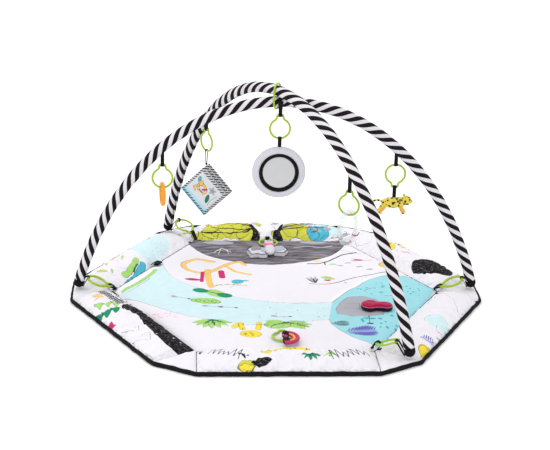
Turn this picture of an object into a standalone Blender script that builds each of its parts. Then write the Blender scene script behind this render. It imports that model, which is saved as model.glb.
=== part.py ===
"""Activity play gym: a six-sided padded mat with side bolsters, two crossed sprung arches and hanging toys.

Frame: origin on the floor under the middle of the mat, +Z up, the front side of the mat faces -Y.
All sizes are in metres. Arch 1 runs from left to right; arch 2 passes over it, from the back left
corner to the front right corner, and can be tilted about the line through its two feet.
"""
import math
from dataclasses import dataclass

import bmesh
import bpy
from mathutils import Euler, Matrix, Vector
from mathutils.geometry import intersect_line_line

# --- the driving dimensions -------------------------------------------------------------------------
GAP = 0.0003                 # clearance kept between touching pieces
WELD = 0.00001               # distance at which points are merged

HEX_RADIUS = 0.445           # corner radius of the flat inner mat
SIDE_COUNT = 6
PANEL_WIDTH = 0.124          # each side bolster, from its seam to its outer edge
BASE_THICK = 0.006           # black underside sheet
PAD_TOP = 0.018              # height of the quilted inner mat
GUSSET_TOP = 0.018           # height of the soft corner pieces
BOLSTER_TOP = 0.038          # height of the side bolsters
PAD_ROUNDING = 0.006         # rounding of the upper rim of the pad and the corner pieces
BOLSTER_ROUNDING = 0.030     # rounding of a bolster's upper rim

PIVOT_RADIUS = 0.535         # distance of each arch foot from the middle of the mat
PIVOT_HEIGHT = 0.035
SLEEVE_RADIUS = 0.0145
SLEEVE_WALL = 0.0097         # padding between the rod and the outside of the sleeve
ROD_RADIUS = 0.0043
FOOT_COLLAR = 0.005          # straight part of a foot cap above its ball
SOCKET_DEPTH = 0.002         # how far a foot's socket goes below its pivot
SOCKET_CLEARANCE = 0.0004    # play round the rod's end in its socket
ROD_STOP = 0.0016            # how far the rod's end goes below its pivot
ARCH_SPANS = 36

RING_WIRE = 0.00275          # radius of the green plastic wire
RING_RADIUS = 0.02625        # centreline radius of the round part of a ring
RING_NECK = 0.03625          # from the middle of the round part to the bar of the neck
RING_LENGTH = RING_RADIUS + RING_NECK

STRAP_WIDTH = 0.009
STRAP_HALF = 0.0014          # half the thickness of two layers of webbing
EYE_OUTER = 0.0052           # outer and inner radius of a strap's eye round a ring's wire
EYE_INNER = 0.0037

MIRROR_RADIUS = 0.0695
MIRROR_HALF = 0.011
BEZEL_OUTER = 0.0532
BEZEL_INNER = 0.0441
BOOK_SIDE = 0.104
BOOK_LEAF = 0.006
BOOK_PITCH = 0.0078          # distance between the middles of two leaves at the spine

BLACK = (0.012, 0.010, 0.013)
GREEN = (0.42, 0.62, 0.05)
WHITE = (0.86, 0.85, 0.87)


@dataclass(frozen=True)
class Arch:
    """A sprung rod bent into a stretch of an ellipse, standing on two pivots."""

    name: str
    heading: float           # direction of the foot line, in degrees from +X
    lean: float              # tilt of the arch about its foot line at rest, in degrees
    apex: float              # height of the middle above the pivots
    drop: float              # depth of the ellipse's centre below the pivots

    @property
    def semi_height(self):
        return self.apex + self.drop

    @property
    def semi_width(self):
        return PIVOT_RADIUS / math.sqrt(1 - (self.drop / self.semi_height) ** 2)

    @property
    def foot_angle(self):
        return math.acos(self.drop / self.semi_height)

    @property
    def frame(self):
        turn = Matrix.Rotation(math.radians(self.heading), 4, "Z")
        tilt = Matrix.Rotation(math.radians(self.lean), 4, "X")
        return Matrix.Translation((0, 0, PIVOT_HEIGHT)) @ turn @ tilt

    def point(self, angle):
        """A point of the centreline in the arch's own frame, angle measured from the top."""
        return Vector((self.semi_width * math.sin(angle), 0,
                       self.semi_height * math.cos(angle) - self.drop))

    def angle_at(self, reach):
        return math.asin(reach / self.semi_width)

    def slope_at(self, reach):
        """Rise of the centreline per metre along the foot line."""
        return -self.semi_height / self.semi_width * math.tan(self.angle_at(reach))

    def hang_point(self, reach):
        """World position of the centreline at a distance along the foot line."""
        return self.frame @ self.point(self.angle_at(reach))

    def underside(self, reach):
        """Height of the sleeve's lower surface straight below the centreline."""
        return self.hang_point(reach).z - SLEEVE_RADIUS * math.hypot(1, self.slope_at(reach))


ARCH_1 = Arch("arch_1", 0.0, 1.09, 0.511, 0.288)
ARCH_2 = Arch("arch_2", -56.0, 1.7, 0.541, 0.417)


@dataclass(frozen=True)
class Hanging:
    """Where a toy hangs: its arch, how far along it, and the height and heading of its ring."""

    name: str
    arch: Arch
    reach: float
    ring_height: float       # height of the ring's top wire
    heading: float           # direction of the ring's plane, in degrees from +X
    forward: float = 0.0     # distance that it hangs in front of the arch

    @property
    def top(self):
        spot = self.arch.hang_point(self.reach)
        return Vector((spot.x, spot.y - self.forward, self.ring_height))


FRONT_OFFSET = SLEEVE_RADIUS + STRAP_HALF + 2 * GAP
HANGINGS = {
    "teether": Hanging("teether", ARCH_1, -0.310, 0.3705, 0.0),
    "mirror": Hanging("mirror", ARCH_1, -0.0045, 0.5140, 0.0, FRONT_OFFSET),
    "leopard": Hanging("leopard", ARCH_1, 0.308, 0.3755, 0.0),
    "book": Hanging("book", ARCH_2, -0.322, 0.3905, -55.0),
    "rattle": Hanging("rattle", ARCH_2, 0.298, 0.3840, -25.0),
}


# --- tools ------------------------------------------------------------------------------------------
def new_collection(name):
    collection = bpy.data.collections.new(name)
    bpy.context.scene.collection.children.link(collection)
    return collection


def clear_scene():
    for item in list(bpy.data.objects):
        bpy.data.objects.remove(item, do_unlink=True)


def finish_material(name, colour, roughness, metallic=0.0):
    material = bpy.data.materials.new(name)
    material.use_nodes = True
    shader = material.node_tree.nodes["Principled BSDF"]
    shader.inputs["Base Color"].default_value = (*colour, 1.0)
    shader.inputs["Roughness"].default_value = roughness
    shader.inputs["Metallic"].default_value = metallic
    return material


def place(item, location=(0, 0, 0), turn=(0, 0, 0), parent=None):
    """Put an object at a location, turned by angles in degrees, below an optional parent."""
    item.location = location
    item.rotation_euler = Euler([math.radians(angle) for angle in turn])
    item.parent = parent
    return item


def add_axis(name, location=(0, 0, 0), turn=(0, 0, 0), parent=None):
    """An empty that stands on a joint's axis or carries a group of pieces."""
    empty = bpy.data.objects.new(name, None)
    empty.empty_display_size = 0.02
    PARTS.objects.link(empty)
    return place(empty, location, turn, parent)


def add_piece(name, mesh, look, location=(0, 0, 0), turn=(0, 0, 0), parent=None):
    """Link a mesh as one named piece with a material of its own."""
    if not mesh.materials:
        mesh.materials.append(None)
    piece = bpy.data.objects.new(name, mesh)
    piece.material_slots[0].link = "OBJECT"
    piece.material_slots[0].material = finish_material(name, *look)
    PARTS.objects.link(piece)
    return place(piece, location, turn, parent)


def curve_mesh(curve):
    """Turn curve data into a closed mesh."""
    helper = bpy.data.objects.new("curve_helper", curve)
    bpy.context.scene.collection.objects.link(helper)
    graph = bpy.context.evaluated_depsgraph_get()
    mesh = bpy.data.meshes.new_from_object(helper.evaluated_get(graph))
    bpy.data.objects.remove(helper, do_unlink=True)
    shape = bmesh.new()
    shape.from_mesh(mesh)
    bmesh.ops.remove_doubles(shape, verts=shape.verts, dist=WELD)
    bmesh.ops.recalc_face_normals(shape, faces=shape.faces)
    shape.to_mesh(mesh)
    shape.free()
    mesh.materials.clear()
    return mesh


def tube_mesh(points, radius, cyclic=False, sides=2, caps=True):
    """A round tube along a list of points."""
    curve = bpy.data.curves.new("tube", "CURVE")
    curve.dimensions = "3D"
    curve.bevel_depth = radius
    curve.bevel_resolution = sides
    curve.use_fill_caps = caps
    spline = curve.splines.new("POLY")
    spline.points.add(len(points) - 1)
    for spot, target in zip(spline.points, points):
        spot.co = (*target, 1.0)
    spline.use_cyclic_u = cyclic
    mesh = curve_mesh(curve)
    mesh.shade_smooth()
    return mesh


def plate_mesh(outlines, low, high):
    """A flat plate between two heights, its outline in XY with any holes after the first loop."""
    curve = bpy.data.curves.new("plate", "CURVE")
    curve.dimensions = "2D"
    curve.fill_mode = "BOTH"
    curve.extrude = (high - low) / 2
    for outline in outlines:
        spline = curve.splines.new("POLY")
        spline.points.add(len(outline) - 1)
        for spot, (across, along) in zip(spline.points, outline):
            spot.co = (across, along, 0.0, 1.0)
        spline.use_cyclic_u = True
    mesh = curve_mesh(curve)
    mesh.transform(Matrix.Translation((0, 0, (high + low) / 2)))
    return mesh


def round_top(mesh, radius, segments=2):
    """Round the upper rim of a plate."""
    shape = bmesh.new()
    shape.from_mesh(mesh)
    top = max(vertex.co.z for vertex in shape.verts)
    bmesh.ops.dissolve_limit(shape, angle_limit=0.01, verts=shape.verts, edges=shape.edges)
    rim = [edge for edge in shape.edges if all(abs(v.co.z - top) < GAP for v in edge.verts)]
    bmesh.ops.bevel(shape, geom=rim, offset=radius, segments=segments, profile=0.5, affect="EDGES")
    shape.to_mesh(mesh)
    shape.free()
    return mesh


def turned_mesh(profile, steps=24):
    """Turn a profile of (radius, height) points about Z; the profile runs down its outer side."""
    mesh = bpy.data.meshes.new("profile")
    mesh.from_pydata([(radius, 0, height) for radius, height in profile],
                     [(i, i + 1) for i in range(len(profile) - 1)], [])
    helper = bpy.data.objects.new("turning", mesh)
    bpy.context.scene.collection.objects.link(helper)
    screw = helper.modifiers.new("Screw", "SCREW")
    screw.steps = steps
    screw.render_steps = steps
    screw.use_merge_vertices = True
    screw.merge_threshold = WELD
    graph = bpy.context.evaluated_depsgraph_get()
    turned = bpy.data.meshes.new_from_object(helper.evaluated_get(graph))
    bpy.data.objects.remove(helper, do_unlink=True)
    shape = bmesh.new()
    shape.from_mesh(turned)
    bmesh.ops.remove_doubles(shape, verts=shape.verts, dist=WELD)
    bmesh.ops.recalc_face_normals(shape, faces=shape.faces)
    shape.to_mesh(turned)
    shape.free()
    turned.shade_smooth()
    return turned


def ball_mesh(size, segments=14):
    """An ellipsoid with the given half sizes."""
    shape = bmesh.new()
    bmesh.ops.create_uvsphere(shape, u_segments=segments, v_segments=segments // 2, radius=1.0)
    bmesh.ops.scale(shape, vec=size, verts=shape.verts)
    mesh = bpy.data.meshes.new("ball")
    shape.to_mesh(mesh)
    shape.free()
    mesh.shade_smooth()
    return mesh


def joined_mesh(placed):
    """Join overlapping shapes, each a mesh with its matrix, into one solid."""
    helpers = []
    for mesh, matrix in placed:
        shape = mesh.copy()
        shape.transform(matrix)
        helper = bpy.data.objects.new("joining", shape)
        bpy.context.scene.collection.objects.link(helper)
        helpers.append(helper)
    for other in helpers[1:]:
        union = helpers[0].modifiers.new("Join", "BOOLEAN")
        union.operation = "UNION"
        union.solver = "EXACT"
        union.object = other
    graph = bpy.context.evaluated_depsgraph_get()
    result = bpy.data.meshes.new_from_object(helpers[0].evaluated_get(graph))
    for helper in helpers:
        bpy.data.objects.remove(helper, do_unlink=True)
    return result


def arc(centre, radius, start, end, steps):
    """Points on a circle from one angle to another, in degrees."""
    angles = [math.radians(start + (end - start) * i / steps) for i in range(steps + 1)]
    return [(centre[0] + radius * math.cos(a), centre[1] + radius * math.sin(a)) for a in angles]


def spin(angle):
    return Matrix.Rotation(math.radians(angle), 4, "Z")


def polar(radius, angle):
    return Vector((radius * math.cos(math.radians(angle)), radius * math.sin(math.radians(angle)), 0))


# --- the mat ----------------------------------------------------------------------------------------
def side_angle(index):
    """Direction in which a side of the mat faces; side 4 is the front."""
    return (index + 0.5) * 360 / SIDE_COUNT


def build_mat():
    corners = [polar(HEX_RADIUS, index * 60) for index in range(SIDE_COUNT)]
    rim = []
    for index, corner in enumerate(corners):
        rim.append((corner + polar(PANEL_WIDTH, side_angle(index - 1)))[:2])
        rim.append((corner + polar(PANEL_WIDTH, side_angle(index)))[:2])
    add_piece("base_sheet", plate_mesh([rim], 0, BASE_THICK), (BLACK, 0.85))

    floor = BASE_THICK + GAP
    inner = [polar(HEX_RADIUS - 2 * GAP, index * 60)[:2] for index in range(SIDE_COUNT)]
    add_piece("inner_pad", round_top(plate_mesh([inner], floor, PAD_TOP), PAD_ROUNDING), (WHITE, 0.8))

    seam = HEX_RADIUS * math.cos(math.radians(30)) + GAP
    half = HEX_RADIUS / 2 - GAP
    outer = seam + PANEL_WIDTH - GAP
    panel = [(seam, -half), (outer, -half), (outer, half), (seam, half)]
    bolster = round_top(plate_mesh([panel], floor, BOLSTER_TOP), BOLSTER_ROUNDING, segments=3)
    tip = HEX_RADIUS + 2 * GAP
    reach = PANEL_WIDTH - 4 * GAP
    wedge = [(tip, 0), tuple((Vector((tip, 0, 0)) + polar(reach, -30))[:2]),
             tuple((Vector((tip, 0, 0)) + polar(reach, 30))[:2])]
    gusset = round_top(plate_mesh([wedge], floor, GUSSET_TOP), PAD_ROUNDING)
    for index in range(SIDE_COUNT):
        add_piece(f"side_bolster_{index + 1}", bolster, (WHITE, 0.8), turn=(0, 0, side_angle(index)))
        add_piece(f"corner_gusset_{index + 1}", gusset, (WHITE, 0.8), turn=(0, 0, index * 60))


# --- the arches -------------------------------------------------------------------------------------
def foot_cap_mesh():
    """A ball with a short collar and a blind socket for the rod's end."""
    socket = ROD_RADIUS + SOCKET_CLEARANCE
    ball = arc((0, 0), SLEEVE_RADIUS, 0, -90, 5)
    return turned_mesh([(0, -SOCKET_DEPTH), (socket, -SOCKET_DEPTH), (socket, FOOT_COLLAR),
                        (SLEEVE_RADIUS, FOOT_COLLAR)] + ball, 16)


def build_arch(arch):
    hinge = add_axis(f"{arch.name}_hinge")
    hinge.matrix_world = arch.frame
    foot = arch.foot_angle
    at_foot = arch.point(foot)
    step = 0.001                         # a small angle, for slopes along the curve
    speed = (at_foot - arch.point(foot - step)).length / step
    trim = (FOOT_COLLAR + GAP) / speed
    end = foot - trim
    square_end = end - 3 * step          # a short last span keeps the sleeve's end square
    inner = [square_end * (2 * i / ARCH_SPANS - 1) for i in range(ARCH_SPANS + 1)]
    route = [arch.point(angle) for angle in [-end] + inner + [end]]

    skin = tube_mesh(route, SLEEVE_RADIUS, sides=4, caps=False)
    sleeve = add_piece(f"{arch.name}_sleeve", skin, (WHITE, 0.85), parent=hinge)
    wall = sleeve.modifiers.new("Padding", "SOLIDIFY")
    wall.thickness = SLEEVE_WALL
    wall.offset = -1.0

    rod_end = foot + ROD_STOP / speed
    left, right = arch.point(-rod_end), arch.point(rod_end)
    add_piece(f"{arch.name}_rod", tube_mesh([left] + route + [right], ROD_RADIUS),
              ((0.75, 0.74, 0.70), 0.5), parent=hinge)

    rise = (arch.point(foot - step) - at_foot).normalized()
    lean_in = math.atan2(rise.x, rise.z)
    cap = foot_cap_mesh()
    for side, sign in (("left", -1), ("right", 1)):
        turn = (0, math.degrees(lean_in) * sign, 0)
        add_piece(f"{arch.name}_{side}_foot", cap, (BLACK, 0.8), arch.point(foot * sign), turn, hinge)
    return hinge


# --- rings and webbing ------------------------------------------------------------------------------
def ring_mesh():
    """A necked ring in the XZ plane, hung from the middle of its neck bar, open at the left."""
    middle = (0.0, -RING_NECK)
    kink = 25.0
    left_side = arc(middle, RING_RADIUS, 176, 90 + kink, 4)
    neck = [(-0.0082, -0.0050), (-0.0072, -0.0012), (-0.0056, 0), (0.0056, 0), (0.0072, -0.0012),
            (0.0082, -0.0050)]
    right_side = arc(middle, RING_RADIUS, 90 - kink, -81, 9)
    bottom = arc(middle, RING_RADIUS, -99, -176, 4)
    path = left_side + neck + right_side + bottom
    return tube_mesh([(across, 0, up) for across, up in path], RING_WIRE)


def eye_outline(length, half=STRAP_HALF):
    """Two layers of webbing, stitched together above an eye at the origin."""
    meet = math.degrees(math.asin(half / EYE_OUTER))
    eye = arc((0, 0), EYE_OUTER, 90 + meet, 450 - meet, 14)
    return [[(half, length), (-half, length)] + eye, arc((0, 0), EYE_INNER, 0, 337.5, 15)]


def eye_strap_mesh(length, width=STRAP_WIDTH, slope=0.0):
    """A webbing strap up from an eye that lies along X; its top is cut to a slope."""
    mesh = plate_mesh(eye_outline(length), -width / 2, width / 2)
    mesh.transform(Euler((math.radians(90), 0, math.radians(90))).to_matrix().to_4x4())
    for vertex in mesh.vertices:
        if vertex.co.z > length - 0.002:
            vertex.co.z += slope * vertex.co.x
    return mesh


def band_mesh(across, up, thickness, width):
    """A closed webbing band of stadium section, standing in the XZ plane, its width along Y."""
    def stadium(radius):
        straight = up / 2 - across / 2
        return arc((0, straight), radius, 0, 180, 6) + arc((0, -straight), radius, 180, 360, 6)
    mesh = plate_mesh([stadium(across / 2), stadium(across / 2 - thickness)], -width / 2, width / 2)
    mesh.transform(Matrix.Rotation(math.radians(90), 4, "X"))
    return mesh


def build_arch_straps(hinges):
    """The straps that the toys' rings hang from, sewn to the sleeves."""
    for spot in HANGINGS.values():
        if spot.forward:
            length = spot.arch.hang_point(spot.reach).z + 0.005 - spot.ring_height
            slope = 0.0
        else:
            relative = math.radians(spot.arch.heading - spot.heading)
            slope = spot.arch.slope_at(spot.reach) * math.cos(relative)
            across = abs(spot.arch.slope_at(spot.reach) * math.sin(relative)) * STRAP_HALF
            length = spot.arch.underside(spot.reach) - spot.ring_height - 0.001 - across
        strap = add_piece(f"{spot.name}_arch_strap", eye_strap_mesh(length, slope=slope), (BLACK, 0.8),
                          parent=hinges[spot.arch.name])
        world = Matrix.Translation(spot.top) @ spin(spot.heading)
        strap.matrix_basis = spot.arch.frame.inverted() @ world


def build_crossing_ring():
    """An open oval ring round both sleeves where the arches cross."""
    half_width, half_height, wire = 0.0205, 0.0335, 0.0025
    straight = half_height - half_width
    path = (arc((0, -straight), half_width, -100, 0, 5) + arc((0, straight), half_width, 0, 180, 8)
            + arc((0, -straight), half_width, 180, 253, 4))
    mesh = tube_mesh([(across, 0, up) for across, up in path], wire)
    tops = []
    for arch in (ARCH_1, ARCH_2):
        apex = arch.hang_point(0.0)
        tops.append((apex, apex + polar(1.0, arch.heading)))
    low, high = intersect_line_line(*tops[0], *tops[1])
    halfway = (ARCH_1.heading + ARCH_2.heading) / 2
    add_piece("crossing_ring", mesh, (GREEN, 0.35), location=(low + high) / 2,
              turn=(0, 0, halfway + 90))


def build_corner_rings():
    """At the four arch corners a ring lies on the mat, its neck inwards and its far end raised."""
    mesh = ring_mesh()
    lying = GUSSET_TOP + 0.0060
    leaning = GUSSET_TOP + 0.0150        # where the ring also lies over a bolster's end
    swing = 13.0                         # arch 2 stands to one side of its corners
    inset, slant = 0.0075, 22.0          # start of a ring past its corner, and its rise in degrees
    corners = ((180.0, 0.0, lying), (0.0, 0.0, lying), (-60.0, swing, leaning), (120.0, swing, leaning))
    for index, (corner, turn, height) in enumerate(corners):
        aim = corner + turn
        spot = polar(HEX_RADIUS, corner) + polar(inset, aim) + Vector((0, 0, height))
        add_piece(f"corner_ring_{index + 1}", mesh, (GREEN, 0.35), spot, (90 + slant, 0, aim - 90))


# --- toys -------------------------------------------------------------------------------------------
def build_ring_hinges():
    """The five rings that toys hang from, each on an empty at its own swing axis."""
    mesh = ring_mesh()
    axes = {}
    for spot in HANGINGS.values():
        swing = add_axis(f"{spot.name}_ring_axis", spot.top, (0, 0, spot.heading))
        upside = spot.name == "leopard"
        drop = RING_LENGTH if upside else 0.0
        add_piece(f"{spot.name}_ring", mesh, (GREEN, 0.35), location=(0, 0, -drop),
                  turn=(180 if upside else 0, 0, 180 if upside else 0), parent=swing)
        axes[spot.name] = add_axis(f"{spot.name}_toy_axis", (0, 0, -RING_LENGTH), parent=swing)
    return axes


def build_teether(axis):
    major, minor = 0.027, 0.0055
    ring = arc((0, 0), major, 0, 345, 23)
    mesh = tube_mesh([(0, across, up) for across, up in ring], minor, cyclic=True)
    rest = RING_WIRE + GAP - (major - minor)
    add_piece("teether_toy", mesh, ((1.0, 0.38, 0.02), 0.4), location=(0, 0, rest + GAP),
              turn=(0, 0, 8), parent=axis)


def build_mirror(axis):
    drop = 0.023
    face = (90, 0, 0)
    centre = (0, 0, -drop - MIRROR_RADIUS - GAP)
    hanger = eye_strap_mesh(drop)
    hanger.transform(Matrix.Rotation(math.pi, 4, "X"))
    add_piece("mirror_hanger", hanger, (BLACK, 0.8), parent=axis)
    recess = 0.003
    rim = MIRROR_HALF
    body = [(0, recess), (BEZEL_OUTER + GAP, recess), (BEZEL_OUTER + GAP, rim - 0.002),
            (BEZEL_OUTER + 0.006, rim), (MIRROR_RADIUS - 0.004, rim * 0.7), (MIRROR_RADIUS, 0.001),
            (MIRROR_RADIUS, -0.003), (MIRROR_RADIUS - 0.006, -rim * 0.8), (0.050, -rim), (0, -rim)]
    add_piece("mirror_pad", turned_mesh(body, 40), ((0.75, 0.74, 0.77), 0.75), centre, face, axis)
    floor = recess + GAP
    bezel = [(BEZEL_INNER, floor), (BEZEL_INNER, floor + 0.006), (BEZEL_INNER + 0.003, floor + 0.0075),
             (BEZEL_OUTER - 0.003, floor + 0.0075), (BEZEL_OUTER, floor + 0.0055),
             (BEZEL_OUTER, floor), (BEZEL_INNER, floor)]
    add_piece("mirror_bezel", turned_mesh(bezel, 40), (BLACK, 0.5), centre, face, axis)
    glass = BEZEL_INNER - GAP
    plate = [(0, floor + 0.0025), (glass, floor + 0.0025), (glass, floor), (0, floor)]
    add_piece("mirror_plate", turned_mesh(plate, 40), ((0.55, 0.55, 0.56), 0.1, 1.0), centre, face, axis)


def build_rattle(axis):
    tube, wide, tall = 0.006, 0.026, 0.043
    lift = RING_WIRE + 2 * GAP + tube - tall
    turn = (0, 0, 57)
    bead_radius, wall_thickness = 0.0036, 0.0012

    def oval(start, end, steps):
        return [(wide * x, 0, tall * y) for x, y in arc((0, 0), 1.0, start, end, steps)]
    add_piece("rattle_hoop", tube_mesh(oval(-34, 214, 20), tube), ((0.85, 0.87, 0.88), 0.1),
              (0, 0, lift), turn, axis)
    joint = 2.2
    skin = tube_mesh(oval(-34 - joint, -146 + joint, 9), tube, caps=False)
    chamber = add_piece("rattle_chamber", skin, ((0.85, 0.87, 0.88), 0.1), (0, 0, lift), turn, axis)
    wall = chamber.modifiers.new("Wall", "SOLIDIFY")
    wall.thickness = wall_thickness
    wall.offset = -1.0
    bead = ball_mesh((bead_radius, bead_radius, bead_radius), 8)
    spots = [oval(angle, angle, 1)[0] for angle in (-68, -80, -92, -104, -116)]
    beads = joined_mesh([(bead, Matrix.Translation(spot)) for spot in spots])
    add_piece("rattle_beads", beads, ((0.7, 0.05, 0.08), 0.3), (0, 0, lift), turn, axis)


def build_book(axis):
    """Three square fabric leaves on a spine along the lower left edge, hung by the top corner."""
    drop, cord_width, corner_gap = 0.041, 0.005, 0.0022
    spine_inner, spine_outer = -0.0006, -0.0026
    cord = eye_strap_mesh(drop, width=cord_width)
    cord.transform(Matrix.Rotation(math.pi, 4, "X"))
    add_piece("book_cord", cord, (BLACK, 0.8), parent=axis)
    tilt = add_axis("book_plane", (0, 0, -drop - BOOK_SIDE / math.sqrt(2) - corner_gap), (0, 0, 30), axis)
    half = BOOK_SIDE / 2
    square = [(0, -half), (BOOK_SIDE, -half), (BOOK_SIDE, half), (0, half)]
    leaf = plate_mesh([square], -BOOK_LEAF / 2, BOOK_LEAF / 2)
    stand = Matrix.Rotation(math.radians(90), 4, "X")
    leaves = (("book_back_cover", 1, 8), ("book_page", 0, 0), ("book_front_cover", -1, -8))
    for name, side, fan in leaves:
        piece = add_piece(name, leaf, ((0.80, 0.82, 0.84), 0.8), parent=tilt)
        turn = Matrix.Rotation(math.radians(-45), 4, "Y")
        spine = Matrix.Translation((-half, BOOK_PITCH * side, 0))
        piece.matrix_basis = (turn @ spine @ Matrix.Rotation(math.radians(fan), 4, "Z") @ stand)
    strip_half = 1.5 * BOOK_PITCH
    outline = [(spine_outer, -half), (spine_inner, -half), (spine_inner, half), (spine_outer, half)]
    strip = plate_mesh([outline], -strip_half, strip_half)
    piece = add_piece("book_spine", strip, ((0.45, 0.68, 0.75), 0.8), parent=tilt)
    piece.matrix_basis = (Matrix.Rotation(math.radians(-45), 4, "Y")
                          @ Matrix.Translation((-half, 0, 0)) @ stand)


def build_leopard(axis):
    drop = 0.029
    hanger = eye_strap_mesh(drop)
    hanger.transform(Matrix.Rotation(math.pi, 4, "X"))
    add_piece("leopard_hanger", hanger, (BLACK, 0.8), parent=axis)
    limb = ball_mesh((0.0065, 0.0055, 0.016), 8)
    plush = [(ball_mesh((0.031, 0.014, 0.0145)), Matrix.Identity(4)),
             (ball_mesh((0.0145, 0.012, 0.0130), 12), Matrix.Translation((0.038, 0, 0.006)))]
    for reach, lean in ((0.024, -25), (-0.026, 40)):
        for side in (-0.0078, 0.0078):
            spot = Matrix.Translation((reach, side, -0.0150))
            plush.append((limb, spot @ Matrix.Rotation(math.radians(lean), 4, "Y")))
    tail = [(-0.024 - 0.030 * i / 5, 0, 0.003 + 0.004 * math.sin(i / 5 * math.pi)) for i in range(6)]
    plush.append((tube_mesh(tail, 0.0028), Matrix.Identity(4)))
    add_piece("leopard_plush", joined_mesh(plush), ((0.85, 0.62, 0.10), 0.8),
              (-0.004, 0, -drop - 0.0150), parent=axis)


def build_mat_toys():
    """The toys that lie on the mat, with their rings and the loops sewn into the mat's seams."""
    wire_height = PAD_TOP + GAP + RING_WIRE
    ring = ring_mesh()
    add_piece("plush_ring", ring, (GREEN, 0.35), (-0.004, 0.372, wire_height + 0.0015), (90, 0, 180))
    add_piece("front_ring", ring, (GREEN, 0.35), (-0.004, -0.288, wire_height), (90, 0, 180))

    bar_x, bar_middle = 0.002, -0.350
    melon_height = PAD_TOP + 2 * GAP + 2 * RING_WIRE + 0.0055
    loop = band_mesh(0.0140, 0.0170, 0.0014, 0.010)
    for name, offset in (("front_loop_inner", 0.018), ("front_loop_outer", -0.018)):
        add_piece(name, loop, (BLACK, 0.8), (bar_x, bar_middle + offset, melon_height))

    reach = 0.030
    edge = [(bar_x, bar_middle + reach * (i / 3 - 1)) for i in range(6)]
    bow = arc((bar_x, bar_middle), reach, 90, -80, 11)
    rind = [(across, along, 0) for across, along in edge + bow]
    add_piece("melon_teether", tube_mesh(rind, 0.005, cyclic=True), ((0.55, 0.03, 0.15), 0.4),
              (0, 0, melon_height))

    lobes = arc((-0.020, 0), 0.0225, 40, 320, 12) + arc((0.0245, 0), 0.0165, -128, 128, 10)
    side_height, pillow_height = 0.011, 0.018
    pillow_base = plate_mesh([lobes], 0, side_height)
    pillow_top = round_top(plate_mesh([lobes], side_height + GAP, pillow_height), 0.004)
    spot = Vector((0.258, -0.145, PAD_TOP + GAP))
    add_piece("pillow_side", pillow_base, (BLACK, 0.6), spot, (0, 0, -8))
    add_piece("pillow_top", pillow_top, ((0.50, 0.02, 0.12), 0.5), spot, (0, 0, -8))

    left = [(-0.010, -0.026), (-0.010, 0.020), (-0.052, 0.030), (-0.066, 0.006), (-0.058, -0.034)]
    right = [(0.010, 0.030), (0.010, -0.012), (0.042, -0.022), (0.052, 0.004), (0.040, 0.034)]
    plush = [(ball_mesh((0.017, 0.034, 0.014)), Matrix.Translation((0, 0, 0.014))),
             (ball_mesh((0.016, 0.014, 0.012), 10), Matrix.Translation((0, 0.038, 0.0135)))]
    for outline in (left, right):
        plush.append((round_top(plate_mesh([outline], 0.002, 0.018), 0.005), Matrix.Identity(4)))
    add_piece("plush_toy", joined_mesh(plush), ((0.80, 0.79, 0.82), 0.85),
              (-0.004, 0.255, PAD_TOP + GAP))


def build_play_gym():
    build_mat()
    hinges = {arch.name: build_arch(arch) for arch in (ARCH_1, ARCH_2)}
    build_arch_straps(hinges)
    build_crossing_ring()
    build_corner_rings()
    axes = build_ring_hinges()
    build_teether(axes["teether"])
    build_mirror(axes["mirror"])
    build_rattle(axes["rattle"])
    build_book(axes["book"])
    build_leopard(axes["leopard"])
    build_mat_toys()


clear_scene()
PARTS = new_collection("activity_play_gym")
build_play_gym()
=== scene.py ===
"""Looks of the activity play gym: quilted mat, striped arches, rings, webbing and toys.

Every size is in metres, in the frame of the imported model: the origin lies on the floor under the
middle of the mat, +Z is up and the front side of the mat faces -Y. Surfaces are numpy grids, and
each print on the cloth is a signed distance stored at the vertices and cut sharp in the material.
"""
import logging
import math
from dataclasses import dataclass
from enum import Enum
from typing import Iterable, Optional, Sequence

import bmesh
import bpy
import numpy as np
from mathutils import Matrix, Vector


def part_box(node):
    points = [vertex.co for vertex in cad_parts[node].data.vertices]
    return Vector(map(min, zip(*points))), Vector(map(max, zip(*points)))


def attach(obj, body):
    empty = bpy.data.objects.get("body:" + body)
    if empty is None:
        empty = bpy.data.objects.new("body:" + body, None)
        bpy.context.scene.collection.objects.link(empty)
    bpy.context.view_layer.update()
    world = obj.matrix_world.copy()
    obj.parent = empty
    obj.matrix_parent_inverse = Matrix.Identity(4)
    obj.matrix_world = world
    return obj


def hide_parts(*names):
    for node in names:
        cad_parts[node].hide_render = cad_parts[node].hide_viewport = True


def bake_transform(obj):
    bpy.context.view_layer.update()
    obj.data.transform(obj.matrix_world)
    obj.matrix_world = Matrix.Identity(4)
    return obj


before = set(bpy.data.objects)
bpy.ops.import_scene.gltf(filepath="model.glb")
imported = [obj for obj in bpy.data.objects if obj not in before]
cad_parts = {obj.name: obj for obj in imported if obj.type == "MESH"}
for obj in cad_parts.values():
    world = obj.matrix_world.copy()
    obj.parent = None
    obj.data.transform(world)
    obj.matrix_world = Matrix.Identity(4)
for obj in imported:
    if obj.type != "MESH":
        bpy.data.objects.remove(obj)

LOG = logging.getLogger("play_gym")
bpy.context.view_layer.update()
Array = np.ndarray
Colour = tuple[float, float, float]

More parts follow.
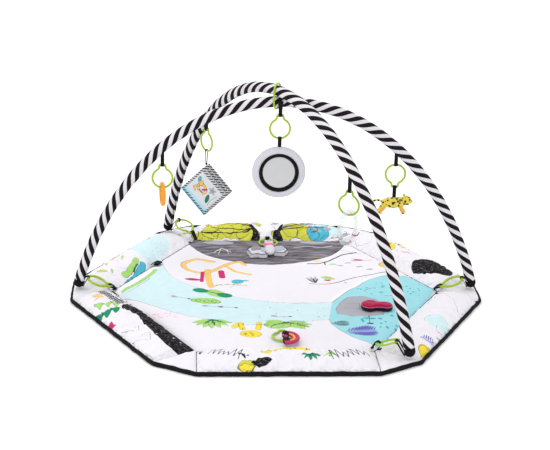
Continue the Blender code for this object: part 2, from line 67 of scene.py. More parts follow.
HEX_RADIUS = 0.445            # corner radius of the inner mat
APOTHEM = HEX_RADIUS * math.cos(math.radians(30))
PANEL_WIDTH = 0.124           # side bolster, from its seam to its outer edge
RING_WIRE = 0.00275
RING_RADIUS = 0.02625
RING_NECK = 0.03625
RING_LENGTH = RING_RADIUS + RING_NECK
SLEEVE_RADIUS = 0.0145
STRIPE_PITCH = 0.035          # length along a sleeve of one black and one white stripe
STRIPE_TWIST = 3.15           # stripes crossed on one turn round a sleeve
TAPE = 0.0014                 # thickness of the tabs at the corners
FINE_TAPE = 0.0013            # thickness of the straps' webbing and the toys' tapes
BLACK_DYE = (0.0045, 0.0040, 0.0055)
X_AXIS, Y_AXIS, Z_AXIS = np.eye(3)


# --- shapes -----------------------------------------------------------------------------------------
def unit(vectors: Array) -> Array:
    """Scale vectors to length one along the last axis."""
    return vectors / np.maximum(np.linalg.norm(vectors, axis=-1, keepdims=True), 1e-12)


def turned(points: Array, degrees: float, axis: str = "Z") -> Array:
    """Turn points about one of the main axes.

    Args:
        points: an array whose last axis is X, Y, Z.
        degrees: the angle, anticlockwise when seen against the axis.
        axis: X, Y or Z.

    Returns:
        The turned points, in the same layout.
    """
    return np.asarray(points, float) @ np.array(Matrix.Rotation(math.radians(degrees), 3, axis)).T


def polar(radius: float, degrees: float, height: float = 0.0) -> Array:
    """A point at a distance and direction from the Z axis."""
    angle = math.radians(degrees)
    return np.array([radius * math.cos(angle), radius * math.sin(angle), height])


def mm(*numbers: float) -> Array:
    """Points of a flat drawing from pairs of millimetres, as (n, 2) in metres."""
    return np.reshape(numbers, (-1, 2)) / 1000


def arc(radius: float, start: float, end: float, steps: int, centre: Sequence[float] = (0, 0)) -> Array:
    """Points on a circle in a plane, from one angle to another in degrees, as (steps + 1, 2)."""
    angle = np.radians(np.linspace(start, end, steps + 1))
    return np.stack([centre[0] + radius * np.cos(angle), centre[1] + radius * np.sin(angle)], 1)


def spline_matrix(count: int, fine: int, closed: bool = False) -> Array:
    """Weights that turn a row of points into a finer row on a Catmull-Rom curve through them.

    Args:
        count: number of points in the coarse row.
        fine: number of points in the fine row.
        closed: whether the row joins up with itself.

    Returns:
        A matrix of shape (fine, count).
    """
    spans = count if closed else count - 1
    place = np.linspace(0, spans, fine, endpoint=not closed)
    start = np.minimum(place.astype(int), spans - 1)
    t = place - start
    blend = np.stack(
        [-t + 2 * t**2 - t**3, 2 - 5 * t**2 + 3 * t**3, t + 4 * t**2 - 3 * t**3, -t**2 + t**3], 1) / 2
    weights = np.zeros((fine, count))
    rows = np.arange(fine)
    for offset in range(4):
        column = start + offset - 1
        column = column % count if closed else np.clip(column, 0, count - 1)
        np.add.at(weights, (rows, column), blend[:, offset])
    return weights


def smooth_path(points: Iterable, steps: int, closed: bool = False) -> Array:
    """A Catmull-Rom curve through the given points."""
    rough = np.array(list(points), float)
    return spline_matrix(len(rough), steps, closed) @ rough


def path_lengths(path: Array) -> Array:
    """Distance along a path at each of its points."""
    return np.concatenate([[0], np.cumsum(np.linalg.norm(np.diff(path, axis=0), axis=1))])


def even_path(path: Array, step: float) -> Array:
    """The same path with points an even distance apart."""
    length = path_lengths(path)
    count = max(int(length[-1] / step), 4)
    at = np.linspace(0, length[-1], count + 1)
    return np.stack([np.interp(at, length, path[:, k]) for k in range(path.shape[1])], 1)


def ripple(x: Array, y: Array, scale: float, seed: int, waves: int = 9) -> Array:
    """Smooth uneven relief between about -1 and 1: a sum of sine waves in many directions."""
    rng = np.random.default_rng(seed)
    total = np.zeros(np.broadcast(x, y).shape)
    for _ in range(waves):
        angle, phase, pitch = rng.uniform(0, 2 * np.pi), rng.uniform(0, 2 * np.pi), rng.uniform(0.6, 1.7)
        total += np.sin((x * np.cos(angle) + y * np.sin(angle)) * 2 * np.pi / (scale * pitch) + phase)
    return total / math.sqrt(waves)


def make_object(name: str, vertices: Array, faces: list, uv: Optional[Array] = None) -> bpy.types.Object:
    """Make a mesh object whose faces point outwards.

    Args:
        name: the piece's name.
        vertices: points as (n, 3).
        faces: lists of vertex numbers; the first ones may have uv.
        uv: one pair for each corner of those first faces.

    Returns:
        The new object, at the origin.
    """
    mesh = bpy.data.meshes.new(name)
    mesh.from_pydata(vertices.tolist(), [], faces)
    if uv is not None:
        layer = mesh.uv_layers.new(name="UVMap")
        full = np.zeros((len(mesh.loops), 2), np.float32)
        full[:len(uv)] = uv
        layer.data.foreach_set("uv", full.ravel())
    shape = bmesh.new()
    shape.from_mesh(mesh)
    bmesh.ops.recalc_face_normals(shape, faces=shape.faces)
    shape.to_mesh(mesh)
    shape.free()
    mesh.shade_smooth()
    piece = bpy.data.objects.new(name, mesh)
    bpy.context.scene.collection.objects.link(piece)
    return piece


def grid_object(
        name: str, grid: Array, wrap: bool = False, loop: bool = False, u: Optional[Array] = None,
        floor: bool = False) -> bpy.types.Object:
    """Make a closed surface from a grid of points.

    Args:
        name: the piece's name.
        grid: points as (n, m, 3).
        wrap: whether the last column joins the first, as round a tube.
        loop: whether the last row joins the first too, as on a ring.
        u: the first UV coordinate of each row; the second runs from 0 to 1 across the columns.
        floor: close the rim of an open grid with one flat face underneath.

    Returns:
        The new object.
    """
    rows, columns = grid.shape[:2]
    number = np.arange(rows * columns).reshape(rows, columns)
    u = np.arange(rows) / max(rows - 1, 1) if u is None else u
    row = np.arange(rows if loop else rows - 1)
    column = np.arange(columns if wrap else columns - 1)
    i, j = (a.ravel() for a in np.meshgrid(row, column, indexing="ij"))
    after_i, after_j = (i + 1) % rows, (j + 1) % columns
    quads = np.stack([number[i, j], number[after_i, j], number[after_i, after_j], number[i, after_j]], 1)
    step = u[1] - u[0]
    across = columns if wrap else columns - 1
    corner_u = np.stack([u[i], u[i] + step, u[i] + step, u[i]], 1)
    if not loop:
        corner_u = np.stack([u[i], u[after_i], u[after_i], u[i]], 1)
    corner_v = np.stack([j, j, j + 1, j + 1], 1) / across
    uv = np.stack([corner_u, corner_v], 2).reshape(-1, 2)
    faces = quads.tolist()
    if wrap and not loop:
        faces += [number[0].tolist(), number[-1].tolist()]
    if floor:
        rim = np.concatenate([number[0, :-1], number[:-1, -1], number[-1, :0:-1], number[:0:-1, 0]])
        faces.append(rim.tolist())
    return make_object(name, grid.reshape(-1, 3), faces, uv)


def section_round(sides: int) -> Array:
    """A unit circle, starting on the first axis."""
    return arc(1, 0, 360, sides)[:-1]


def section_band(width: float, thickness: float, sides: int = 20) -> Array:
    """A flat band with round edges: a superellipse, thin on the first axis and wide on the second."""
    circle = section_round(sides)
    return np.sign(circle) * np.abs(circle) ** 0.45 * (thickness / 2, width / 2)


def sweep(
        path: Array, side: Array, section: Array, closed: bool = False, rounding: float = 0.0,
        scale: Optional[Array] = None) -> tuple[Array, Array]:
    """Carry a section along a path.

    Args:
        path: points as (n, 3).
        side: the direction of the section's second axis, one vector or one for each point.
        section: points as (m, 2), on the axes that lie across the path.
        closed: whether the path joins up with itself.
        rounding: length of the round ends of an open path, or 0 for flat ones.
        scale: size of the section at each point.

    Returns:
        The grid of points as (n, m, 3), and the distance along the path of each row.
    """
    scale = np.ones(len(path)) if scale is None else scale
    if rounding:
        step = np.array([1.0, 0.92, 0.7, 0.4])
        thin = np.sqrt(np.maximum(1 - step**2, 0.002))
        ahead = unit(path[1] - path[0])
        behind = unit(path[-1] - path[-2])
        path = np.concatenate(
            [path[0] - ahead * step[:, None] * rounding, path, path[-1] + behind * step[::-1,
            None] * rounding])
        scale = np.concatenate([thin * scale[0], scale, thin[::-1] * scale[-1]])
        if np.ndim(side) == 2:
            side = np.concatenate([side[:1]] * 4 + [side] + [side[-1:]] * 4)
    if closed:
        tangent = unit(np.roll(path, -1, 0) - np.roll(path, 1, 0))
    else:
        tangent = unit(np.gradient(path, axis=0))
    second = np.broadcast_to(np.asarray(side, float), path.shape)
    second = unit(second - (second * tangent).sum(1, keepdims=True) * tangent)
    first = np.cross(second, tangent)
    across = section[None, :, 0, None] * first[:, None] + section[None, :, 1, None] * second[:, None]
    return path[:, None] + across * scale[:, None, None], path_lengths(path)


def tube_object(
        name: str, path: Array, side: Array, radius: float, sides: int = 16, closed: bool = False,
        scale: Optional[Array] = None, flat: bool = False) -> bpy.types.Object:
    """A round tube along a path, with round ends unless flat or closed."""
    rounding = 0.0 if closed or flat else radius
    grid, length = sweep(path, side, section_round(sides) * radius, closed, rounding, scale)
    return grid_object(name, grid, wrap=True, loop=closed, u=length)


def band_object(
        name: str, path: Array, side: Array, width: float, thickness: float,
        closed: bool = False) -> bpy.types.Object:
    """A webbing band along a path, its width along the side direction."""
    grid, length = sweep(path, side, section_band(width, thickness), closed, 0.0 if closed else thickness / 2)
    return grid_object(name, grid, wrap=True, loop=closed, u=length)


def lathe_object(name: str, profile: Array, steps: int, place: Matrix) -> bpy.types.Object:
    """Turn a closed (radius, height) profile about Z and put it in place.

    Args:
        name: the piece's name.
        profile: points as (n, 2), the first and last on the axis or joined up as a ring section.
        steps: number of steps round the axis.
        place: where the turned shape goes.

    Returns:
        The new object.
    """
    on_axis = profile[0, 0] < 1e-6
    angle = np.linspace(0, 2 * np.pi, steps, endpoint=False)
    radius = profile[:, 0] + (1e-5 if on_axis else 0)
    grid = np.stack(
        [radius[:, None] * np.cos(angle), radius[:, None] * np.sin(angle), np.broadcast_to(profile[:, 1,
        None], (len(profile), steps))], 2)
    grid = grid @ np.array(place.to_3x3()).T + np.array(place.translation)
    return grid_object(name, grid, wrap=True, loop=not on_axis, u=path_lengths(profile))


def ellipsoid_grid(centre: Sequence[float], size: Sequence[float], steps: int = 24) -> Array:
    """A sphere's grid of latitude and longitude, stretched to half sizes."""
    up = np.linspace(-np.pi / 2 + 0.01, np.pi / 2 - 0.01, steps // 2 + 1)[:, None]
    around = np.linspace(0, 2 * np.pi, steps, endpoint=False)[None]
    ball = np.stack([np.cos(up) * np.cos(around), np.cos(up) * np.sin(around), np.sin(up) + 0 * around], 2)
    return ball * size + centre


def melt(name: str, parts: list, voxel: float, smoothing: int = 6) -> bpy.types.Object:
    """Run closed shapes together into one soft body by a voxel remesh.

    Args:
        name: the piece's name.
        parts: objects that are used up.
        voxel: size of a voxel.
        smoothing: how often the surface is evened out.

    Returns:
        The new object.
    """
    shape = bmesh.new()
    for part in parts:
        shape.from_mesh(part.data)
        bpy.data.objects.remove(part, do_unlink=True)
    mesh = bpy.data.meshes.new(name)
    shape.to_mesh(mesh)
    shape.free()
    piece = bpy.data.objects.new(name, mesh)
    bpy.context.scene.collection.objects.link(piece)
    remesh = piece.modifiers.new("Remesh", "REMESH")
    remesh.mode = "VOXEL"
    remesh.voxel_size = voxel
    evening = piece.modifiers.new("Smooth", "SMOOTH")
    evening.iterations = smoothing
    graph = bpy.context.evaluated_depsgraph_get()
    piece.data = bpy.data.meshes.new_from_object(piece.evaluated_get(graph))
    piece.data.name = name
    piece.modifiers.clear()
    piece.data.shade_smooth()
    return piece


def points_of(piece: bpy.types.Object) -> Array:
    """Vertex positions of a piece as (n, 3)."""
    flat = np.zeros(len(piece.data.vertices) * 3, np.float32)
    piece.data.vertices.foreach_get("co", flat)
    return flat.reshape(-1, 3).astype(float)


def set_points(piece: bpy.types.Object, points: Array) -> None:
    """Move a piece's vertices."""
    piece.data.vertices.foreach_set("co", points.astype(np.float32).ravel())
    piece.data.update()


def set_attribute(piece: bpy.types.Object, name: str, values: Array) -> None:
    """Store one number at each vertex."""
    layer = piece.data.attributes.new(name, "FLOAT", "POINT")
    layer.data.foreach_set("value", values.astype(np.float32))


def billow(grid: Array, growth: float, pressure: float, cap: float, fine: tuple[int, int]) -> Array:
    """Puff up a sheet that is sewn down along its rim, by cloth simulation, and refine it.

    The sheet is cut a little larger than its frame, so that it wrinkles along the seams. How far a
    point may move is capped. The movement is carried over to a finer grid on smooth curves.

    Args:
        grid: the sheet's points as (n, m, 3).
        growth: how much larger the cloth is cut than its frame, as a share.
        pressure: pressure of the filling.
        cap: the farthest that a point may move.
        fine: rows and columns of the finer grid.

    Returns:
        The finer grid.
    """
    moved = grid
    rows, columns = grid.shape[:2]
    number = np.arange(rows * columns).reshape(rows, columns)
    quads = np.stack([number[:-1, :-1], number[:-1, 1:], number[1:, 1:], number[1:, :-1]], 2)
    mesh = bpy.data.meshes.new("cloth")
    mesh.from_pydata(grid.reshape(-1, 3).tolist(), [], quads.reshape(-1, 4).tolist())
    sheet = bpy.data.objects.new("cloth", mesh)
    bpy.context.scene.collection.objects.link(sheet)
    rim = np.concatenate([number[0], number[-1], number[:, 0], number[:, -1]])
    sewn = sheet.vertex_groups.new(name="sewn")
    sewn.add([int(n) for n in rim], 1.0, "REPLACE")
    cloth = sheet.modifiers.new("Cloth", "CLOTH")
    cloth.settings.vertex_group_mass = "sewn"
    cloth.settings.use_pressure = True
    cloth.settings.uniform_pressure_force = pressure
    cloth.settings.shrink_min = -growth
    cloth.settings.quality = 4
    cloth.settings.effector_weights.gravity = 0
    for number_of_frame in range(1, 21):
        bpy.context.scene.frame_set(number_of_frame)
    graph = bpy.context.evaluated_depsgraph_get()
    result = np.zeros(rows * columns * 3, np.float32)
    sheet.evaluated_get(graph).data.vertices.foreach_get("co", result)
    shift = result.reshape(rows, columns, 3) - grid
    size = np.linalg.norm(shift, axis=2, keepdims=True)
    moved = grid + shift * np.minimum(1, cap / np.maximum(size, 1e-9))
    bpy.data.objects.remove(sheet, do_unlink=True)
    bpy.context.scene.frame_set(1)
    along = spline_matrix(grid.shape[0], fine[0])
    across = spline_matrix(grid.shape[1], fine[1])
    return np.einsum("ai,ijk,bj->abk", along, moved, across)


# --- finishes ---------------------------------------------------------------------------------------
def linear(red: float, green: float, blue: float) -> Colour:
    """A colour given from 0 to 1, in the linear values that a shader takes."""
    return tuple(c / 12.92 if c <= 0.04045 else ((c + 0.055) / 1.055) ** 2.4 for c in (red, green, blue))


class Number:
    """A number carried by a shader socket; arithmetic on it adds Math nodes."""

    def __init__(self, recipe: "Recipe", socket: bpy.types.NodeSocket) -> None:
        """Args: recipe: the recipe it belongs to; socket: the output that carries it."""
        self.recipe = recipe
        self.socket = socket

    def join(self, operation: str, *others: "Number | float", first: int = 0) -> "Number":
        """Add one Math node.

        Args:
            operation: the Math node's operation.
            others: its other inputs, numbers or links.
            first: which input this number goes to.

        Returns:
            The node's result.
        """
        values = list(others)
        values.insert(first, self)
        node = self.recipe.node("ShaderNodeMath", {"operation": operation}, values)
        return Number(self.recipe, node.outputs[0])

    def __add__(self, other: "Number | float") -> "Number":
        """Sum."""
        return self.join("ADD", other)

    __radd__ = __add__

    def __mul__(self, other: "Number | float") -> "Number":
        """Product."""
        return self.join("MULTIPLY", other)

    __rmul__ = __mul__

    def __sub__(self, other: "Number | float") -> "Number":
        """Difference."""
        return self.join("SUBTRACT", other)

    def __rsub__(self, other: "Number | float") -> "Number":
        """Difference, with this number taken away."""
        return self.join("SUBTRACT", other, first=1)

    def __truediv__(self, other: float) -> "Number":
        """Quotient."""
        return self.join("DIVIDE", other)

    def sine(self) -> "Number":
        """Sine of a number in radians."""
        return self.join("SINE")

    def fraction(self) -> "Number":
        """The part after the decimal point."""
        return self.join("FRACT")

    def size(self) -> "Number":
        """The number without its sign."""
        return self.join("ABSOLUTE")

    def above(self, level: float, blur: float) -> "Number":
        """1 well above a level and 0 well below it, with an edge as wide as the blur."""
        span = {"clamp": True}
        inputs = [self, level - blur / 2, level + blur / 2, 0.0, 1.0]
        return Number(self.recipe, self.recipe.node("ShaderNodeMapRange", span, inputs).outputs[0])


class Recipe:
    """A material in the making, on a Principled shader."""

    def __init__(self, name: str) -> None:
        """Start a material with its shader.

        Args:
            name: the material's name.
        """
        self.material = bpy.data.materials.new(name)
        self.material.use_nodes = True
        self.tree = self.material.node_tree
        self.shader = self.tree.nodes["Principled BSDF"]

    def node(
            self, kind: str, settings: Optional[dict] = None,
            values: Optional[list | dict] = None) -> bpy.types.Node:
        """Add one node.

        Args:
            kind: the node's type.
            settings: the node's own settings, made first.
            values: values or links of its sockets, in order or by name or number.

        Returns:
            The new node.
        """
        node = self.tree.nodes.new(kind)
        for key, value in (settings or {}).items():
            setattr(node, key, value)
        pairs = values.items() if isinstance(values, dict) else enumerate(values or [])
        for key, value in pairs:
            self.feed(node.inputs[key], value)
        return node

    def feed(self, socket: bpy.types.NodeSocket, value: object) -> None:
        """Link a socket, or set its value."""
        if isinstance(value, Number):
            value = value.socket
        if isinstance(value, bpy.types.NodeSocket):
            self.tree.links.new(value, socket)
        elif isinstance(value, tuple) and len(value) == 3 and socket.type == "RGBA":
            socket.default_value = (*value, 1.0)
        else:
            socket.default_value = value

    def place(self) -> tuple[Number, Number, Number]:
        """Object coordinates as three numbers."""
        coordinate = self.node("ShaderNodeTexCoord").outputs["Object"]
        parts = self.node("ShaderNodeSeparateXYZ", None, [coordinate]).outputs
        return Number(self, parts[0]), Number(self, parts[1]), Number(self, parts[2])

    def uv(self) -> tuple[Number, Number]:
        """The piece's UV map as two numbers: distance along it, and the share of the way round."""
        coordinate = self.node("ShaderNodeUVMap", {"uv_map": "UVMap"}).outputs[0]
        parts = self.node("ShaderNodeSeparateXYZ", None, [coordinate]).outputs
        return Number(self, parts[0]), Number(self, parts[1])

    def attribute(self, name: str) -> Number:
        """A number stored at the vertices."""
        node = self.node("ShaderNodeAttribute", {"attribute_name": name})
        return Number(self, node.outputs["Fac"])

    def noise(self, scale: float, detail: float = 2.0, stretch: Colour = (1, 1, 1)) -> Number:
        """Noise from 0 to 1 in Object coordinates.

        Args:
            scale: cells in a metre.
            detail: how many finer layers it has.
            stretch: a further scale on each axis.

        Returns:
            The noise.
        """
        coordinate = self.node("ShaderNodeTexCoord").outputs["Object"]
        mapped = self.node("ShaderNodeMapping", None, {"Vector": coordinate, "Scale": stretch}).outputs[0]
        values = {"Vector": mapped, "Scale": scale, "Detail": detail}
        return Number(self, self.node("ShaderNodeTexNoise", None, values).outputs[0])

    def cells(self, scale: float) -> Number:
        """Distance to the nearest of scattered points, in cells."""
        coordinate = self.node("ShaderNodeTexCoord").outputs["Object"]
        return Number(
            self, self.node("ShaderNodeTexVoronoi", None, {"Vector": coordinate,
            "Scale": scale}).outputs[0])

    def mix(self, share: "Number | float", first: object, second: object) -> bpy.types.NodeSocket:
        """A colour between two others."""
        node = self.node("ShaderNodeMix", {"data_type": "RGBA"}, {0: share, 6: first, 7: second})
        return node.outputs[2]

    def relief(self, height: Number, depth: float, strength: float = 1.0) -> None:
        """Let a height from 0 to 1 bump the surface, to a depth in metres."""
        values = {"Height": height, "Distance": depth, "Strength": strength}
        self.feed(self.shader.inputs["Normal"], self.node("ShaderNodeBump", None, values).outputs[0])

    def finish(self, **sockets: object) -> bpy.types.Material:
        """Feed the Principled shader's sockets, given with underscores for spaces."""
        for name, value in sockets.items():
            self.feed(self.shader.inputs[name.replace("_", " ")], value)
        return self.material


@dataclass(frozen=True)
class Cloth:
    """Plain woven or brushed cloth: fine threads, soft creases and a faint unevenness of the dye."""

    name: str
    colour: Colour
    thread: float = 0.0009        # distance between threads
    crease: float = 0.0006        # depth of the soft creases
    rough: float = 0.85
    fuzz: float = 0.0

    def weave(self, recipe: Recipe) -> Number:
        """Height of the threads, from 0 to 1, with the creases added."""
        x, y, z = recipe.place()
        turn = 2 * math.pi / self.thread
        threads = ((x + z * 0.5) * turn).sine() * ((y + z * 0.5) * turn).sine()
        return recipe.noise(55, 3) + threads * 0.04

    def material(self) -> bpy.types.Material:
        """The finished material."""
        recipe = Recipe(self.name)
        recipe.relief(self.weave(recipe), self.crease * 4, 0.6)
        faded = tuple(min(1.0, c * 1.25 + 0.002) for c in self.colour)
        colour = recipe.mix(recipe.noise(140, 4), self.colour, faded)
        recipe.finish(Base_Color=colour, Roughness=recipe.noise(300, 2) * 0.1 + (self.rough - 0.05))
        return recipe.finish(Sheen_Weight=self.fuzz, Specular_IOR_Level=0.10)


@dataclass(frozen=True)
class Webbing:
    """Narrow woven tape: ribs across it, a selvedge at each side and glossy threads, with a highlight painted
    lighter on the crests of the ribs.
    """

    name: str = "webbing_weave"
    colour: Colour = BLACK_DYE
    rib: float = 0.0011

    def material(self) -> bpy.types.Material:
        """The finished material."""
        recipe = Recipe(self.name)
        along, around = recipe.uv()
        ribs = (along * (2 * math.pi / self.rib) + (around * 62.8).sine()).sine()
        recipe.relief(ribs * 0.5 + recipe.noise(900, 2) * 0.4, 0.0003, 0.7)
        # Painted highlight: the colour turns lighter on the crests of the same ribs that bump the surface,
        # broken up by noise.
        light = tuple(c * 3.0 + 0.004 for c in self.colour)
        colour = recipe.mix((ribs * 0.5 + 0.5) * recipe.noise(400, 2) * 0.8, self.colour, light)
        return recipe.finish(
            Base_Color=colour, Roughness=recipe.noise(500, 2) * 0.2 + 0.5, Specular_IOR_Level=0.14)


@dataclass(frozen=True)
class Plastic:
    """Moulded plastic: a satin skin with flow marks and light scuffs."""

    name: str
    colour: Colour
    rough: float = 0.32
    coat: float = 0.25
    glow: float = 0.12            # share of light scattered below the skin

    def material(self) -> bpy.types.Material:
        """The finished material."""
        recipe = Recipe(self.name)
        recipe.relief(recipe.noise(260, 3), 0.0004, 0.25)
        deep = tuple(c * 0.82 for c in self.colour)
        colour = recipe.mix(recipe.noise(45, 3), deep, self.colour)
        scuffs = recipe.noise(700, 4, (1, 1, 0.25)).above(0.62, 0.2)
        recipe.finish(Base_Color=colour, Roughness=scuffs * 0.22 + self.rough)
        return recipe.finish(
            Coat_Weight=self.coat, Coat_Roughness=0.2, Subsurface_Weight=self.glow, Subsurface_Scale=0.004)


@dataclass(frozen=True)
class Stripes:
    """Sleeve cloth: black and off-white bands that wind round, with a sewn seam on the inner side."""

    name: str = "striped_cloth"
    dark: Colour = linear(0.110, 0.085, 0.100)
    light: Colour = linear(0.900, 0.885, 0.910)
    pitch: float = STRIPE_PITCH
    twist: float = STRIPE_TWIST
    shift: float = 0.0

    def material(self) -> bpy.types.Material:
        """The finished material."""
        recipe = Recipe(self.name)
        along, around = recipe.uv()
        wander = recipe.noise(40, 2) * 0.05
        phase = (along / self.pitch - around * self.twist + wander + (self.shift + 40.0)).fraction()
        band = (phase - 0.5).size()
        black = 1 - band.above(0.268, 0.02)
        thread = 2 * math.pi / 0.0008
        weave = (along * thread).sine() * (around * (thread * 0.091)).sine()
        soft = recipe.noise(70, 3)
        recipe.relief(soft + weave * 0.05, 0.0016, 0.5)
        grey = recipe.mix(soft * 0.35, self.light, tuple(c * 0.82 for c in self.light))
        ink = recipe.mix(recipe.noise(220, 3) * 0.5, self.dark, tuple(c * 1.6 for c in self.dark))
        seam = (around - 0.5).size().above(0.487, 0.006)
        colour = recipe.mix(seam * 0.85, recipe.mix(black, grey, ink), self.dark)
        return recipe.finish(Base_Color=colour, Roughness=soft * 0.15 + 0.72, Specular_IOR_Level=0.10)


class Ink(Enum):
    """Printing inks of the mat, from the first printed to the last."""

    RIVER = linear(0.800, 0.895, 0.915)
    COVER = linear(0.700, 0.850, 0.900)
    POND = linear(0.600, 0.830, 0.865)
    PALE = linear(0.925, 0.925, 0.940)
    WOOD = linear(0.420, 0.395, 0.425)
    LEAF = linear(0.640, 0.820, 0.450)
    LAWN = linear(0.800, 0.800, 0.280)
    FERN = linear(0.080, 0.560, 0.400)
    SKY = linear(0.300, 0.700, 0.790)
    TEAL = linear(0.200, 0.660, 0.720)
    ROSE = linear(0.950, 0.680, 0.760)
    SAND = linear(0.950, 0.760, 0.430)
    SUN = linear(0.930, 0.840, 0.260)
    BERRY = linear(0.790, 0.150, 0.420)
    PLUM = linear(0.400, 0.350, 0.700)
    SMOKE = linear(0.660, 0.660, 0.700)
    BLACK = linear(0.085, 0.075, 0.090)
    CHALK = linear(0.920, 0.915, 0.930)
    LINE = linear(0.130, 0.120, 0.150)

    @property
    def layer(self) -> str:
        """Name of the attribute that holds this ink's signed distance."""
        return f"ink_{self.name.lower()}"


@dataclass(frozen=True)
class PrintedCloth:
    """The mat's soft top cloth with its prints, each cut sharp from a signed distance."""

    name: str
    inks: tuple[Ink, ...]
    white: Colour = linear(0.935, 0.925, 0.950)
    bound: float = 0.0071         # height up to which the cloth is black: the binding at the outer edge, and a thin line along the low seams between the pads

    def material(self) -> bpy.types.Material:
        """The finished material."""
        recipe = Recipe(self.name)
        height = recipe.place()[2]
        wash = recipe.noise(38, 4)
        brushed = recipe.noise(420, 3, (1, 0.3, 1))
        colour = recipe.mix(recipe.noise(9, 3) * 0.5, self.white, tuple(c * 0.93 for c in self.white))
        for ink in self.inks:
            tone = recipe.mix(wash, ink.value, tuple(min(1.0, c * 1.12 + 0.02) for c in ink.value))
            if ink is Ink.WOOD:
                grain = recipe.noise(30, 6, (0.7, 5.5, 1)).above(0.52, 0.35)
                tone = recipe.mix(grain, linear(0.27, 0.25, 0.28), linear(0.62, 0.60, 0.63))
            if ink is Ink.BLACK:
                flecks = recipe.noise(190, 4).above(0.58, 0.08)
                tone = recipe.mix(flecks * 0.6, ink.value, linear(0.45, 0.43, 0.45))
            inked = 1 - recipe.attribute(ink.layer).above(0.0, 0.0009)
            colour = recipe.mix(inked, colour, tone)
        # Below the bound height the cloth turns black: the outer binding, and also the lowest strip of each
        # pad along its seams.
        colour = recipe.mix(height.above(self.bound, 0.0006), BLACK_DYE, colour)
        turn = 2 * math.pi / 0.0011
        x, y, _ = recipe.place()
        threads = (x * turn).sine() * (y * turn).sine()
        recipe.relief(recipe.noise(85, 4) + threads * 0.03, 0.0016, 0.45)
        recipe.finish(Base_Color=colour, Roughness=brushed * 0.15 + 0.74)
        return recipe.finish(Specular_IOR_Level=0.10)


